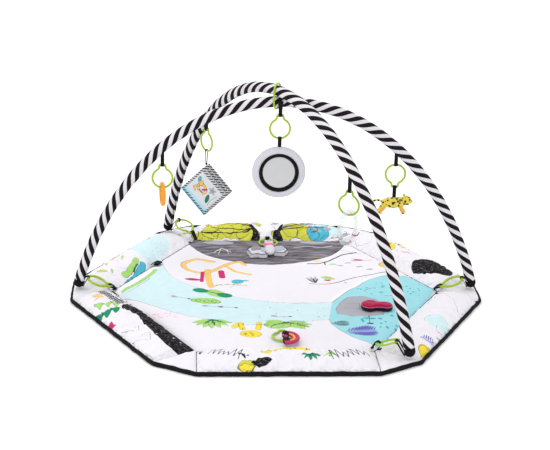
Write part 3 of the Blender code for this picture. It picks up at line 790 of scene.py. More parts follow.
# --- prints -----------------------------------------------------------------------------------------
class Print:
    """The drawing on a stretch of cloth, as signed distances at its vertices, negative inside."""

    FAR = 0.05
    DRAWN = (Ink.LEAF, Ink.LAWN, Ink.FERN, Ink.SKY, Ink.SAND, Ink.SUN, Ink.BERRY)

    def __init__(self, spots: Array) -> None:
        """Args: spots: where the vertices lie, as (n, 2)."""
        self.spots = spots
        self.layers: dict[Ink, Array] = {}

    def near(self, low: Array, high: Array, margin: float = 0.01) -> Array:
        """Which vertices lie in a box with a margin round it."""
        inside = (self.spots > low - margin) & (self.spots < high + margin)
        return inside.all(1)

    def add(self, ink: Ink, mask: Array, distance: Array) -> None:
        """Lay a shape into an ink's layer."""
        layer = self.layers.setdefault(ink, np.full(len(self.spots), self.FAR))
        layer[mask] = np.minimum(layer[mask], distance)
        if ink in self.DRAWN:
            self.add(Ink.LINE, mask, np.abs(distance) - 0.0005)

    def blot(self, ink: Ink, centre: Sequence[float], size: Sequence[float], turn: float = 0.0) -> None:
        """An ellipse with half sizes, turned in degrees."""
        mid, reach = np.array(centre, float), max(size)
        mask = self.near(mid - reach, mid + reach)
        angle = math.radians(turn)
        local = self.spots[mask] - mid
        x = local[:, 0] * math.cos(angle) + local[:, 1] * math.sin(angle)
        y = local[:, 1] * math.cos(angle) - local[:, 0] * math.sin(angle)
        self.add(ink, mask, (np.hypot(x / size[0], y / size[1]) - 1) * min(size))

    def stroke(self, ink: Ink, points: Iterable, width: float, smooth: int = 6, closed: bool = False) -> None:
        """A line of even width along a smooth curve through the points."""
        path = np.array(list(points), float)
        if closed:
            path = np.concatenate([path, path[:1]])
        if smooth:
            path = smooth_path(path, (len(path) - 1) * smooth + 1)
        mask = self.near(path.min(0), path.max(0), width + 0.004)
        spots = self.spots[mask]
        nearest = np.full(len(spots), self.FAR)
        for start, end in zip(path[:-1], path[1:]):
            span = end - start
            t = np.clip(((spots - start) @ span) / max(span @ span, 1e-12), 0, 1)
            nearest = np.minimum(nearest, np.linalg.norm(spots - start - t[:, None] * span, axis=1))
        self.add(ink, mask, nearest - width / 2)

    def patch(
            self, ink: Ink, points: Iterable, smooth: int = 6, rim: Optional[Ink] = None,
            rim_width: float = 0.0014) -> None:
        """A filled outline through the points; its distance is to the nearest edge, signed by crossings.

        Args:
            ink: what fills it.
            points: the outline, in order.
            smooth: steps of the curve between two points, or 0 for straight edges.
            rim: ink of a line round it.
            rim_width: width of that line.
        """
        path = np.array(list(points), float)
        if smooth:
            path = smooth_path(path, len(path) * smooth, closed=True)
        mask = self.near(path.min(0), path.max(0))
        spots = self.spots[mask]
        nearest = np.full(len(spots), self.FAR)
        inside = np.zeros(len(spots), bool)
        for start, end in zip(path, np.roll(path, -1, 0)):
            span = end - start
            t = np.clip(((spots - start) @ span) / max(span @ span, 1e-12), 0, 1)
            nearest = np.minimum(nearest, np.linalg.norm(spots - start - t[:, None] * span, axis=1))
            crosses = (start[1] > spots[:, 1]) != (end[1] > spots[:, 1])
            rise = span[1] if abs(span[1]) > 1e-12 else 1e-12
            inside ^= crosses & (spots[:, 0] < start[0] + (spots[:, 1] - start[1]) * span[0] / rise)
        self.add(ink, mask, np.where(inside, -nearest, nearest))
        if rim is not None:
            self.add(rim, mask, nearest - rim_width / 2)

    def hatch(self, ink: Ink, middle: Sequence[float], half: float, edge: float, pitch: float) -> None:
        """Slanting bars in a square's edge strip: the larger of the bars' distance and the strip's."""
        across = np.abs(self.spots - np.array(middle, float))
        strip = (half - edge) - across.max(1)
        bars = (np.abs((self.spots.sum(1) / pitch) % 1 - 0.5) - 0.25) * pitch / math.sqrt(2)
        self.add(ink, np.full(len(self.spots), True), np.maximum(strip, bars))

    def leaf(self, ink: Ink, root: Sequence[float], length: float, aim: float, breadth: float = 0.3) -> None:
        """A pointed leaf from its root towards an angle in degrees."""
        t = np.linspace(0, 1, 9)
        half = length * breadth * np.sin(np.pi * t) ** 0.8 / 2
        outline = np.concatenate(
            [np.stack([t * length, half], 1), np.stack([t[-2:0:-1] * length, -half[-2:0:-1]], 1)])
        angle = math.radians(aim)
        spin = np.array([[math.cos(angle), math.sin(angle)], [-math.sin(angle), math.cos(angle)]])
        self.patch(ink, outline @ spin + np.array(root), smooth=0)

    def frond(
            self, ink: Ink, root: Sequence[float], length: float, aims: Iterable[float],
            breadth: float = 0.3) -> None:
        """Leaves spread from one root."""
        for aim in aims:
            self.leaf(ink, root, length, aim, breadth)

    def feather(
            self, ink: Ink, centre: Sequence[float], size: Sequence[float], turn: float,
            blades: int = 9) -> None:
        """An oval leaf cut into blades on both sides of a rib."""
        angle = math.radians(turn)
        axis = np.array([math.cos(angle), math.sin(angle)])
        mid = np.array(centre, float)
        for place in np.linspace(-0.85, 0.8, blades):
            reach = size[1] * math.sqrt(1 - place**2)
            root = mid + axis * place * size[0]
            for side in (-1, 1):
                self.leaf(ink, root, reach * 1.15, turn + side * 62, 0.17)
        self.stroke(ink, [mid - axis * size[0], mid + axis * size[0]], 0.0022, smooth=0)

    def scribble(
            self, ink: Ink, start: Sequence[float], end: Sequence[float], height: float, teeth: int,
            width: float = 0.0016) -> None:
        """A zigzag of grass blades between two points."""
        first, last = np.array(start, float), np.array(end, float)
        across = np.array([-(last - first)[1], (last - first)[0]]) / np.linalg.norm(last - first)
        t = np.linspace(0, 1, 2 * teeth + 1)
        tall = height * (0.7 + 0.3 * np.sin(np.arange(2 * teeth + 1) * 2.3)) * (np.arange(2 * teeth + 1) % 2)
        self.stroke(ink, first + (last - first) * t[:, None] + across * tall[:, None], width, smooth=0)

    def dots(
            self, ink: Ink, low: Sequence[float], high: Sequence[float], count: int, size: float,
            seed: int) -> None:
        """Scattered specks in a box."""
        rng = np.random.default_rng(seed)
        corners = np.array([low, high], float)
        for _ in range(count):
            stretch = rng.uniform(0.6, 1.5)
            spot = rng.uniform(corners.min(0), corners.max(0))
            self.blot(ink, spot, (size * stretch, size * 0.75), rng.uniform(0, 180))

    def store(self, piece: bpy.types.Object, blank: Optional[Array] = None) -> tuple[Ink, ...]:
        """Put the layers on a piece, whose first vertices are the spots; returns the inks in order."""
        inks = tuple(ink for ink in Ink if ink in self.layers)
        for ink in inks:
            values = np.full(len(piece.data.vertices), self.FAR)
            values[:len(self.spots)] = self.layers[ink]
            if blank is not None:
                values[:len(self.spots)][blank] = self.FAR
            set_attribute(piece, ink.layer, values)
        return inks


def draw_meadow(page: Print) -> None:
    """The prints of the inner mat: a river and a pond, a round wooden floor, leaves and small animals."""
    bank = mm(-317, 200, -291, 94, -246, 29, -179, -21, -115, -62, -44, -90, 38, -104, 143, -100)
    shore = mm(123, -214, 47, -227, -39, -246, -129, -233, -203, -208, -283, -162, -363, -96, -440, -30)
    river = np.concatenate([smooth_path(bank, 40), smooth_path(shore, 40), mm(-470, 30, -345, 190)])
    page.patch(Ink.RIVER, river, smooth=0)
    page.stroke(Ink.LINE, bank, 0.0016)
    page.stroke(Ink.LINE, shore, 0.0014)
    page.patch(Ink.PALE, mm(-445, -20, -425, -35, -335, 100, -318, 155, -360, 150), smooth=0)
    page.stroke(Ink.LEAF, mm(-415, -20, -385, 25, -350, 85, -332, 130), 0.012)
    page.stroke(Ink.PALE, mm(-407, -8, -385, 30, -350, 88, -337, 118), 0.0065)
    page.stroke(Ink.LINE, mm(-405, -35, -380, 4, -345, 70), 0.0014)

    pond = mm(143, -100, 200, -15, 266, 67, 305, 92, 380, 88, 425, 50, 440, 6, 390, -100, 247, -365)
    rim = [(0.232, -0.368), (0.206, -0.350), (0.170, -0.314), (0.135, -0.259), (0.123, -0.214)]
    page.patch(Ink.POND, np.concatenate([pond, smooth_path(rim, 16)]), smooth=0)
    page.stroke(Ink.LINE, pond[:6], 0.0016, smooth=0)
    page.stroke(Ink.LINE, [(0.247, -0.372)] + rim, 0.0018)
    page.stroke(Ink.CHALK, mm(143, -85, 200, 0, 266, 82), 0.010, smooth=0)
    page.dots(Ink.TEAL, (0.20, -0.30), (0.30, -0.10), 34, 0.0052, 3)
    page.dots(Ink.TEAL, (0.19, -0.06), (0.40, 0.08), 30, 0.0036, 5)
    page.dots(Ink.TEAL, (-0.08, -0.20), (0.12, -0.13), 14, 0.0022, 6)
    page.patch(Ink.SMOKE, mm(150, -175, 185, -70, 262, -75, 270, -180), 3, Ink.LINE)
    page.stroke(Ink.LINE, mm(170, -135, 215, -135, 215, -105, 178, -105), 0.0018, smooth=0)
    page.stroke(Ink.LINE, mm(232, -180, 228, -232), 0.0020, smooth=0)
    page.blot(Ink.BLACK, (0.229, -0.236), (0.010, 0.004))
    page.stroke(Ink.LINE, mm(262, -60, 240, -20, 275, 5, 315, -5, 318, -45, 288, -55, 282, -25), 0.0016)
    page.feather(Ink.BLACK, (0.150, -0.238), (0.024, 0.018), 8, 8)
    page.feather(Ink.PLUM, (0.199, -0.285), (0.040, 0.034), 6, 10)

    angle = np.radians(np.linspace(182, 358, 40))
    wood = np.stack([0.236 * np.cos(angle) - 0.006, 0.388 + 0.216 * np.sin(angle)], 1)
    page.patch(Ink.WOOD, wood, smooth=0)
    page.stroke(Ink.LINE, wood, 0.0018, smooth=0)
    page.blot(Ink.SMOKE, (-0.150, 0.345), (0.045, 0.016))
    page.blot(Ink.SMOKE, (0.130, 0.352), (0.040, 0.012))
    page.stroke(Ink.CHALK, mm(-165, 262, -140, 300, -115, 262), 0.0024, smooth=0)
    page.stroke(Ink.CHALK, mm(-152, 252, -146, 285, -130, 288, -122, 252), 0.0018, smooth=0)
    page.stroke(Ink.CHALK, mm(70, 305, 110, 318, 160, 310, 185, 322), 0.0024)

    page.stroke(
        Ink.SAND, mm(-168, 196, -215, 212, -252, 180, -240, 132, -200, 112, -168, 128, -130, 172, -95, 190,
        -80, 170), 0.0135)
    page.stroke(Ink.PALE, mm(-170, 196, -214, 211, -250, 180, -238, 134, -202, 114), 0.0042)
    page.stroke(Ink.LINE, mm(-168, 203, -216, 219, -260, 182, -246, 126, -200, 104), 0.0011)
    page.stroke(Ink.SAND, mm(-186, 130, -184, 60, -178, 10), 0.017)
    page.stroke(Ink.SAND, mm(-136, 168, -110, 120, -68, 98), 0.010)
    page.stroke(Ink.BERRY, mm(-200, 115, -203, 50), 0.010, smooth=0)
    page.stroke(Ink.BERRY, mm(-148, 118, -146, 75), 0.017, smooth=0)
    page.leaf(Ink.BERRY, (-0.252, 0.066), 0.050, -8, 0.34)
    page.blot(Ink.SKY, (-0.105, 0.042), (0.017, 0.014), 20)
    page.leaf(Ink.SKY, (-0.100, 0.044), 0.030, 20, 0.3)
    page.stroke(Ink.SUN, mm(-165, 18, -120, 24, -80, 12), 0.0030)
    page.stroke(Ink.LINE, mm(-170, 10, -150, 24, -128, 0, -112, 18, -86, 4), 0.0014)

    page.blot(Ink.FERN, (-0.208, -0.018), (0.021, 0.015), -25)
    page.blot(Ink.FERN, (-0.143, -0.052), (0.021, 0.015), -25)
    page.patch(Ink.LEAF, mm(-196, -20, -166, -12, -135, -50, -156, -68, -186, -46), 4, Ink.LINE, 0.0012)
    page.stroke(Ink.FERN, mm(-188, -26, -150, -48), 0.0040, smooth=0)
    page.blot(Ink.LEAF, (-0.194, -0.088), (0.040, 0.017), -14)
    for shift in (-0.020, 0.002, 0.022):
        page.stroke(
            Ink.FERN, arc(0.0075, 20, 330, 8, (-0.194 + shift, -0.088 - shift * 0.25)), 0.0016, smooth=0)
    for x, y, aim in ((-0.272, -0.058, -22), (-0.150, -0.128, -6), (-0.012, -0.196, 4), (-0.190, -0.122, -8)):
        tail = np.array([math.cos(math.radians(aim)), math.sin(math.radians(aim))])
        page.stroke(Ink.SMOKE, [(x, y), np.array([x, y]) + tail * 0.034], 0.0030, smooth=0)
        page.leaf(Ink.SMOKE, (x - 0.016, y + 0.004), 0.020, aim, 0.6)
        page.blot(Ink.LINE, np.array([x, y]) + tail * 0.036, (0.005, 0.003), aim)

    page.frond(Ink.LEAF, (-0.180, -0.214), 0.056, (200, 222, 246, 268, 292, 316, 338), 0.30)
    page.frond(Ink.FERN, (-0.180, -0.214), 0.034, (235, 282, 325), 0.14)
    page.frond(Ink.LEAF, (0.010, -0.232), 0.054, (168, 196, 222, 318, 342, 4), 0.42)
    page.blot(Ink.LEAF, (-0.012, -0.246), (0.034, 0.024))
    page.frond(Ink.LEAF, (0.038, -0.238), 0.040, (-10, -34, -60), 0.3)
    page.stroke(Ink.FERN, mm(-30, -256, 0, -236, 34, -240, 66, -262), 0.0018)
    for side in (-1, 1):
        page.stroke(
            Ink.SUN, [(-0.083 + side * 0.024, -0.235), (-0.083 + side * 0.020, -0.270)], 0.014, smooth=0)
    page.blot(Ink.SUN, (-0.083, -0.300), (0.027, 0.022))
    page.leaf(Ink.SUN, (-0.128, -0.268), 0.034, 66, 0.5)
    page.dots(Ink.SAND, (-0.105, -0.315), (-0.062, -0.285), 8, 0.0034, 11)
    page.dots(Ink.BLACK, (-0.112, -0.272), (-0.102, -0.240), 6, 0.0018, 12)
    page.dots(Ink.BLACK, (-0.066, -0.272), (-0.056, -0.240), 6, 0.0018, 13)
    page.dots(Ink.ROSE, (-0.345, -0.196), (-0.268, -0.168), 40, 0.0024, 14)

    page.stroke(Ink.LINE, mm(94, 30, 125, 24, 160, 34, 225, 78, 300, 112, 330, 116), 0.0030)
    page.frond(Ink.SMOKE, (0.112, 0.034), 0.052, (88, 104, 120), 0.16)
    page.frond(Ink.BLACK, (0.110, 0.034), 0.040, (74, 96, 126), 0.10)
    page.leaf(Ink.LEAF, (0.128, 0.078), 0.036, -12, 0.5)
    page.leaf(Ink.BERRY, (0.134, 0.058), 0.022, -10, 0.5)
    page.leaf(Ink.SAND, (0.150, 0.062), 0.020, 12, 0.5)
    page.stroke(Ink.BLACK, mm(100, 176, 135, 182, 165, 202, 205, 250, 250, 268), 0.0048)
    page.stroke(Ink.BLACK, mm(150, 192, 150, 170), 0.0036, smooth=0)
    page.leaf(Ink.SUN, (0.118, 0.196), 0.026, 12, 0.4)
    page.leaf(Ink.LEAF, (0.160, 0.176), 0.024, -4, 0.4)
    for x, y in ((0.205, 0.185), (0.235, 0.160), (0.262, 0.138), (0.225, 0.205), (0.180, 0.165)):
        page.leaf(Ink.SMOKE, (x, y), 0.024, 4, 0.34)
    page.stroke(Ink.ROSE, mm(232, 222, 262, 206, 290, 214), 0.0050)
    page.leaf(Ink.BERRY, (0.236, 0.216), 0.030, -18, 0.4)
    page.stroke(Ink.SMOKE, mm(205, 290, 250, 262, 300, 250, 305, 215), 0.0024)
    page.patch(Ink.SAND, mm(305, 165, 318, 200, 352, 190, 372, 150, 345, 128), 5, Ink.LINE)
    page.blot(Ink.SUN, (0.342, 0.158), (0.024, 0.020), -30)
    page.dots(Ink.BLACK, (0.322, 0.142), (0.362, 0.178), 9, 0.0028, 15)
    page.blot(Ink.SKY, (0.366, 0.166), (0.010, 0.010))


def draw_border(page: Print) -> None:
    """The prints of the raised sides, side by side round the mat."""
    page.scribble(Ink.LINE, (-0.122, -0.476), (-0.195, -0.440), -0.046, 6, 0.0022)
    page.scribble(Ink.LINE, (0.108, -0.482), (0.200, -0.450), 0.050, 7, 0.0022)
    page.leaf(Ink.BLACK, (-0.092, -0.488), 0.052, 4, 0.50)
    page.blot(Ink.SUN, (-0.104, -0.4985), (0.020, 0.0072))
    page.blot(Ink.LAWN, (-0.101, -0.494), (0.021, 0.0125))
    page.dots(Ink.BLACK, (-0.124, -0.474), (-0.098, -0.455), 12, 0.0032, 21)
    page.stroke(Ink.SUN, mm(-50, -440, 0, -430, 50, -436), 0.0135)
    page.dots(Ink.BLACK, (-0.050, -0.444), (0.048, -0.430), 16, 0.0022, 22)
    page.blot(Ink.SUN, (-0.052, -0.446), (0.014, 0.010))
    page.stroke(Ink.LINE, mm(46, -438, 80, -446, 110, -442), 0.0012)
    page.frond(Ink.FERN, (0.056, -0.456), 0.026, (196, 226, 262, 300, 336), 0.30)
    page.frond(Ink.LEAF, (0.104, -0.450), 0.022, (220, 260, 300), 0.26)

    seam = np.array([polar(APOTHEM + 0.010, 210)[:2]])
    along = polar(1.0, 120)[:2]
    out = polar(1.0, 210)[:2]

    def left(reach: float, offset: float) -> Array:
        """A place on the front left side, from its seam outwards and along it to the back."""
        return seam[0] + out * (reach + 0.018 * min(1.0, max(0.0, reach) / 0.01)) + along * offset
    for row in range(4):
        for column in range(15):
            spot = left(0.004 + row * 0.0085, 0.075 + column * 0.0088 + (row % 2) * 0.004)
            page.blot(Ink.BLACK, spot, (0.0052, 0.0042), 30)
            page.blot(Ink.CHALK, spot, (0.0027, 0.0021), 30)
    page.patch(
        Ink.BLACK, [left(-0.006, 0.062), left(0.022, 0.066), left(0.034, 0.040), left(0.020, 0.000),
        left(0.034, -0.080), left(0.034, -0.205), left(-0.006, -0.222), left(-0.010, -0.080)], 5)
    page.patch(
        Ink.ROSE, [left(0.004, 0.030), left(0.020, 0.012), left(0.018, -0.045), left(0.004, -0.060)], 5)
    page.patch(
        Ink.SAND, [left(0.002, -0.010), left(0.014, -0.022), left(0.012, -0.070), left(0.001, -0.075)], 5)
    page.blot(Ink.SUN, left(0.012, 0.046), (0.010, 0.007))
    page.blot(Ink.LAWN, left(0.022, -0.092), (0.011, 0.008))
    page.dots(Ink.CHALK, left(0.030, -0.125), left(0.000, -0.190) + (0.02, 0.0), 10, 0.0022, 23)
    for reach, offset, ink in (
            (0.034, 0.080, Ink.LEAF), (0.050, 0.094, Ink.LEAF), (0.066, 0.110, Ink.LEAF), (0.050, 0.052,
            Ink.FERN), (0.070, 0.060, Ink.FERN), (0.088, 0.070, Ink.FERN)):
        page.patch(
            ink, [left(reach - 0.012, offset), left(reach + 0.010, offset + 0.018), left(reach + 0.010,
            offset - 0.020)], smooth=0)
    page.patch(
        Ink.BERRY, [left(0.084, 0.014), left(0.084, -0.012), left(0.104, -0.008), left(0.104, 0.018)],
        smooth=0)
    for offset in (-0.060, -0.120):
        page.stroke(
            Ink.LINE, [left(0.045, offset), left(0.090, offset + 0.010), left(0.060, offset - 0.030),
            left(0.045, offset)], 0.0012, smooth=0)
        page.dots(Ink.LINE, left(0.066, offset), left(0.050, offset - 0.016), 6, 0.0010, 24)
    page.leaf(Ink.SAND, left(0.060, 0.170), 0.038, -32, 0.4)
    page.leaf(Ink.SAND, left(0.050, 0.170), 0.036, 8, 0.3)
    page.leaf(Ink.ROSE, left(0.070, 0.140), 0.018, 40, 0.4)

    page.patch(
        Ink.RIVER, [polar(0.500, 133)[:2], polar(0.425, 134)[:2], polar(0.392, 146)[:2], polar(0.410,
        153)[:2], polar(0.500, 146)[:2]], 4)
    page.dots(Ink.SMOKE, polar(0.43, 144)[:2] - 0.01, polar(0.43, 138)[:2] + 0.02, 26, 0.0016, 25)
    page.stroke(Ink.LEAF, [polar(0.500, 134)[:2], polar(0.500, 140)[:2], polar(0.498, 147)[:2]], 0.0060)
    page.stroke(Ink.SKY, [polar(0.402, 156)[:2], polar(0.396, 163)[:2], polar(0.410, 172)[:2]], 0.017)
    page.stroke(Ink.LEAF, [polar(0.422, 156)[:2], polar(0.416, 163)[:2], polar(0.425, 169)[:2]], 0.015)
    page.stroke(Ink.FERN, [polar(0.412, 158)[:2], polar(0.408, 164)[:2]], 0.0040)
    for turn, reach in ((152, 0.492), (158, 0.470), (164, 0.498), (170, 0.468)):
        page.leaf(Ink.LAWN, polar(reach, turn)[:2], 0.034, 10 + turn, 0.42)
        page.leaf(Ink.LEAF, polar(reach - 0.014, turn + 1)[:2], 0.024, turn - 70, 0.3)
        page.stroke(
            Ink.SMOKE, [polar(reach - 0.02, turn + 2)[:2], polar(reach + 0.016, turn)[:2]], 0.0014,
            smooth=0)
    page.dots(Ink.ROSE, polar(0.47, 160)[:2] - 0.02, polar(0.47, 156)[:2] + 0.01, 10, 0.0030, 26)

    bushes = (
        (-0.190, 0.404, 0.040, 0.020), (-0.150, 0.420, 0.048, 0.030), (-0.100, 0.430, 0.048, 0.038),
        (-0.060, 0.405, 0.036, 0.020), (0.050, 0.410, 0.040, 0.022), (0.085, 0.424, 0.044, 0.030), (0.120,
        0.404, 0.034, 0.018))
    for x, y, width, depth in bushes:
        page.blot(Ink.LAWN, (x, y), (width, depth))
    page.blot(Ink.SKY, (0.150, 0.412), (0.034, 0.026))
    page.blot(Ink.RIVER, (0.170, 0.440), (0.060, 0.036))
    page.patch(Ink.BLACK, mm(-54, 385, -46, 410, -66, 465, -34, 425, -26, 385), 4)
    page.patch(Ink.BLACK, mm(16, 385, 18, 420, 48, 450, 36, 410, 44, 385), 4)
    for spread in np.linspace(-0.36, 0.30, 23):
        height = 0.404 + 0.045 * abs(math.sin(spread * 61)) + 0.02 * math.cos(spread * 9)
        twig = np.array([0.020 * math.cos(spread * 97), 0.014 + 0.008 * math.sin(spread * 53)])
        page.stroke(
            Ink.BLACK, [(spread - 0.02, height - 0.010), (spread, height), (spread, height) + twig], 0.0022)
        page.leaf(
            (Ink.LAWN, Ink.LEAF, Ink.SMOKE)[int(abs(spread) * 100) % 3], (spread + 0.012, height - 0.006),
            0.030, 200 * math.sin(spread * 31), 0.5)
    for tip_x, tip_y in ((-0.170, 0.435), (-0.200, 0.420), (-0.120, 0.462), (-0.150, 0.468), (-0.090, 0.476)):
        page.stroke(Ink.BLACK, [(-0.040, 0.420), ((tip_x - 0.04) / 2, tip_y - 0.012), (tip_x, tip_y)], 0.0036)
    for tip_x, tip_y in ((0.180, 0.440), (0.140, 0.462), (0.200, 0.462), (0.110, 0.436)):
        page.stroke(Ink.BLACK, [(0.020, 0.415), ((tip_x + 0.03) / 2, tip_y - 0.014), (tip_x, tip_y)], 0.0036)
    page.blot(Ink.CHALK, (-0.004, 0.432), (0.026, 0.020))
    page.blot(Ink.SMOKE, (-0.018, 0.446), (0.010, 0.009))
    page.blot(Ink.SMOKE, (0.012, 0.440), (0.012, 0.008))

    page.patch(
        Ink.BLACK, [polar(0.415, 14)[:2], polar(0.492, 7)[:2], polar(0.508, 13)[:2], polar(0.470, 20)[:2],
        polar(0.425, 21)[:2]], 4)
    page.stroke(Ink.LINE, [polar(0.440, 30)[:2], polar(0.480, 22)[:2], polar(0.512, 17)[:2]], 0.0018)
    page.blot(Ink.SUN, polar(0.442, 40)[:2], (0.040, 0.022), 110)
    page.blot(Ink.LAWN, polar(0.486, 36)[:2], (0.034, 0.018), 120)
    page.dots(Ink.BLACK, polar(0.46, 42)[:2] - 0.02, polar(0.46, 36)[:2] + 0.02, 18, 0.0026, 27)
    page.stroke(Ink.SMOKE, arc(0.026, 0, 330, 8, polar(0.450, 51)[:2]), 0.0016)
    page.stroke(Ink.ROSE, [polar(0.430, 33)[:2], polar(0.455, 28)[:2]], 0.0042)
    page.blot(Ink.SKY, polar(0.430, 18)[:2], (0.014, 0.010), 90)

    page.blot(Ink.SUN, (0.348, -0.407), (0.021, 0.024))
    page.blot(Ink.LAWN, (0.346, -0.407), (0.017, 0.020))
    page.feather(Ink.PLUM, (0.357, -0.354), (0.018, 0.016), 8, 6)
    page.blot(Ink.RIVER, (0.398, -0.262), (0.030, 0.032), 60)
    page.stroke(Ink.TEAL, arc(0.033, 20, 200, 8, (0.398, -0.262)), 0.0014)
    page.stroke(Ink.LINE, mm(385, -330, 412, -318, 420, -288, 398, -278, 390, -302, 404, -305), 0.0012)
    page.stroke(Ink.LINE, mm(470, -180, 462, -120, 440, -60, 395, -130), 0.0012)
    page.stroke(Ink.ROSE, mm(425, -58, 460, -50, 490, -36), 0.0044)
    page.stroke(Ink.PLUM, mm(450, -30, 480, -24), 0.0030, smooth=0)
    page.frond(Ink.BERRY, (0.300, -0.330), 0.034, (40, 62, 84), 0.14)
    page.stroke(Ink.PALE, mm(300, -330, 318, -302), 0.0020, smooth=0)


# --- the mat ----------------------------------------------------------------------------------------
def side_angle(index: int) -> float:
    """Direction that a side of the mat faces, in degrees; side 4 is the front."""
    return index * 60 + 30


def packed_rows(count: int, tightness: float = 0.75) -> Array:
    """Numbers from -1 to 1, closer together near both ends."""
    even = np.linspace(-1, 1, count)
    return (1 - tightness) * even + tightness * np.sin(even * np.pi / 2)


@dataclass
class Mat:
    """The mat: a black underside, a quilted inner pad, six padded sides and six corner pieces."""

    floor: float = 0.0063          # underside of the padded pieces
    pad_height: float = 0.0176
    side_height: float = 0.0375
    corner_height: float = 0.0165
    print_rows: int = 400
    side_rows: tuple[int, int] = (300, 96)
    rope: float = 0.0062           # half height of the black binding round the outer edge

    def rim(self, outset: float = 0.0) -> Array:
        """The twelve corners of the outer edge, as (12, 2)."""
        spots = []
        for index in range(6):
            corner = polar(HEX_RADIUS, index * 60)
            for facing in (side_angle(index - 1), side_angle(index)):
                spots.append((corner + polar(PANEL_WIDTH + outset, facing))[:2])
        return np.array(spots)

    def sheet_underside(self) -> None:
        """The black sheet below the pads: rings of the outer edge's shape, thin and slightly rippled."""
        outline = even_path(np.concatenate([self.rim(0.001), self.rim(0.001)[:1]]), 0.006)[:-1]
        low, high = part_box("base_sheet")
        share = np.concatenate([np.linspace(0.02, 0.985, 24), [0.995, 1.0]])[:, None]
        count = len(outline)
        top = np.stack(
            [share * outline[:, 0], share * outline[:, 1], np.full((len(share), count), high.z - 0.0009)],
            2)
        top[..., 2] += 0.0003 * ripple(top[..., 0], top[..., 1], 0.05, 2)
        bottom = top[::-1].copy()
        bottom[..., 2] = low.z + 0.0022
        sheet = grid_object("base_underside", np.concatenate([top, bottom]), wrap=True)
        black = Cloth("black_undercloth", linear(0.10, 0.095, 0.105)).material()
        dress(sheet, black, "mat", "base_fabric", "base_sheet")

    def binding(self) -> None:
        """The padded black binding round the outer edge: an oval section that swells between the corners."""
        corners = self.rim(-0.0005)
        path = even_path(np.concatenate([corners, corners[:1]]), 0.004)[:-1]
        weights = np.array([0.25, 0.5, 0.25])
        for _ in range(3):
            path = sum(w * np.roll(path, k, 0) for w, k in zip(weights, (-1, 0, 1)))
        along = path_lengths(path)
        lift = 0.0066 + 0.0005 * ripple(path[:, 0], path[:, 1], 0.06, 4)
        centre = np.column_stack(
            [path + unit(path) * 0.0006 * ripple(path[:, 1], path[:, 0], 0.05, 5)[:, None], lift])
        oval = section_round(18) * (0.0042, self.rope)
        scale = 1 + 0.05 * ripple(path[:, 0], path[:, 1], 0.03, 6)
        grid, _ = sweep(centre, Z_AXIS, oval, closed=True, scale=scale)
        grid[..., 2] = np.maximum(grid[..., 2], 0.0002)
        piece = grid_object("outer_binding", grid, wrap=True, loop=True, u=along)
        black = Cloth("black_binding", linear(0.095, 0.090, 0.100), crease=0.0004).material()
        dress(piece, black, "mat", "base_fabric")

    def quilt(self) -> None:
        """The inner pad: rows across the hexagon, raised inside the seam, with creases that run to the seam.

        A row at y is as wide as the hexagon there. The height rises from the seam as 1 - exp(-d / 11 mm),
        where d is the distance to the nearest side, plus soft creases and the puckers of the seam.
        """
        rows, columns = 340, self.print_rows
        inner = HEX_RADIUS - 0.0008
        apothem = inner * math.cos(math.radians(30))
        y = packed_rows(rows, 0.25)[:, None] * apothem
        x = packed_rows(columns, 0.25)[None] * (inner - np.abs(y) / math.sqrt(3))
        y = np.broadcast_to(y, x.shape)
        depth = np.full(x.shape, 1.0)
        pucker = np.zeros(x.shape)
        for index in range(6):
            normal = polar(1, side_angle(index))
            along = x * -normal[1] + y * normal[0]
            gap = apothem - (x * normal[0] + y * normal[1])
            depth = np.minimum(depth, gap)
            wave = np.sin(along * 2 * np.pi / 0.026 + 2.4 * ripple(along, gap, 0.09, 40 + index))
            pucker += wave * np.exp(-gap / 0.020) * (1 - np.exp(-gap / 0.004))
        rise = 1 - np.exp(-np.maximum(depth, 0) / 0.011)
        radius, bearing = np.hypot(x, y), np.degrees(np.arctan2(y, x))
        pull = np.zeros(x.shape)
        for corner in range(6):
            off = (bearing - corner * 60 + 180) % 360 - 180
            fan = np.cos(np.radians(off) * 26) * np.exp(-(off / 9) ** 2)
            pull += fan * np.exp(-((radius - 0.36) / 0.07) ** 2)
        z = self.floor + (self.pad_height - self.floor) * rise + 0.0009 * pucker
        z += rise * (0.0010 * ripple(x, y, 0.16, 7) + 0.0005 * ripple(x, y, 0.045, 8) + 0.0009 * pull)
        z[[0, -1]] = self.floor
        z[:, [0, -1]] = self.floor
        piece = grid_object("inner_quilt", np.stack([x, y, z], 2), floor=True)
        page = Print(np.stack([x.ravel(), y.ravel()], 1))
        draw_meadow(page)
        self.cover(piece, page, "printed_meadow", "inner_pad", 0.25)

    def cover(self, piece: bpy.types.Object, page: Print, name: str, node: str, fill: float) -> None:
        """Put a finished print on one of the mat's padded pieces."""
        cloth = PrintedCloth(name, page.store(piece)).material()
        dress(piece, cloth, "mat", "mat_fabric", node, fill=fill)

    def crown(self, across: Array, along: Array, height: float) -> Array:
        """Height of a padded side: a rounded box in both directions, fullest towards the outer edge.

        Args:
            across: -1 at the seam to 1 at the outer edge.
            along: -1 to 1 between the ends.
            height: height of the fullest part above the mat's floor.

        Returns:
            The height above the floor.
        """
        lean = (across + 1) / 2
        profile = (1 - np.abs(across) ** 2.8) ** 0.62 * (0.80 + 0.20 * np.sin(lean * np.pi * 0.75))
        ends = (1 - np.abs(along) ** 7) ** 0.5 * (0.62 + 0.38 * (1 - along**2) ** 0.6)
        return height * profile * ends

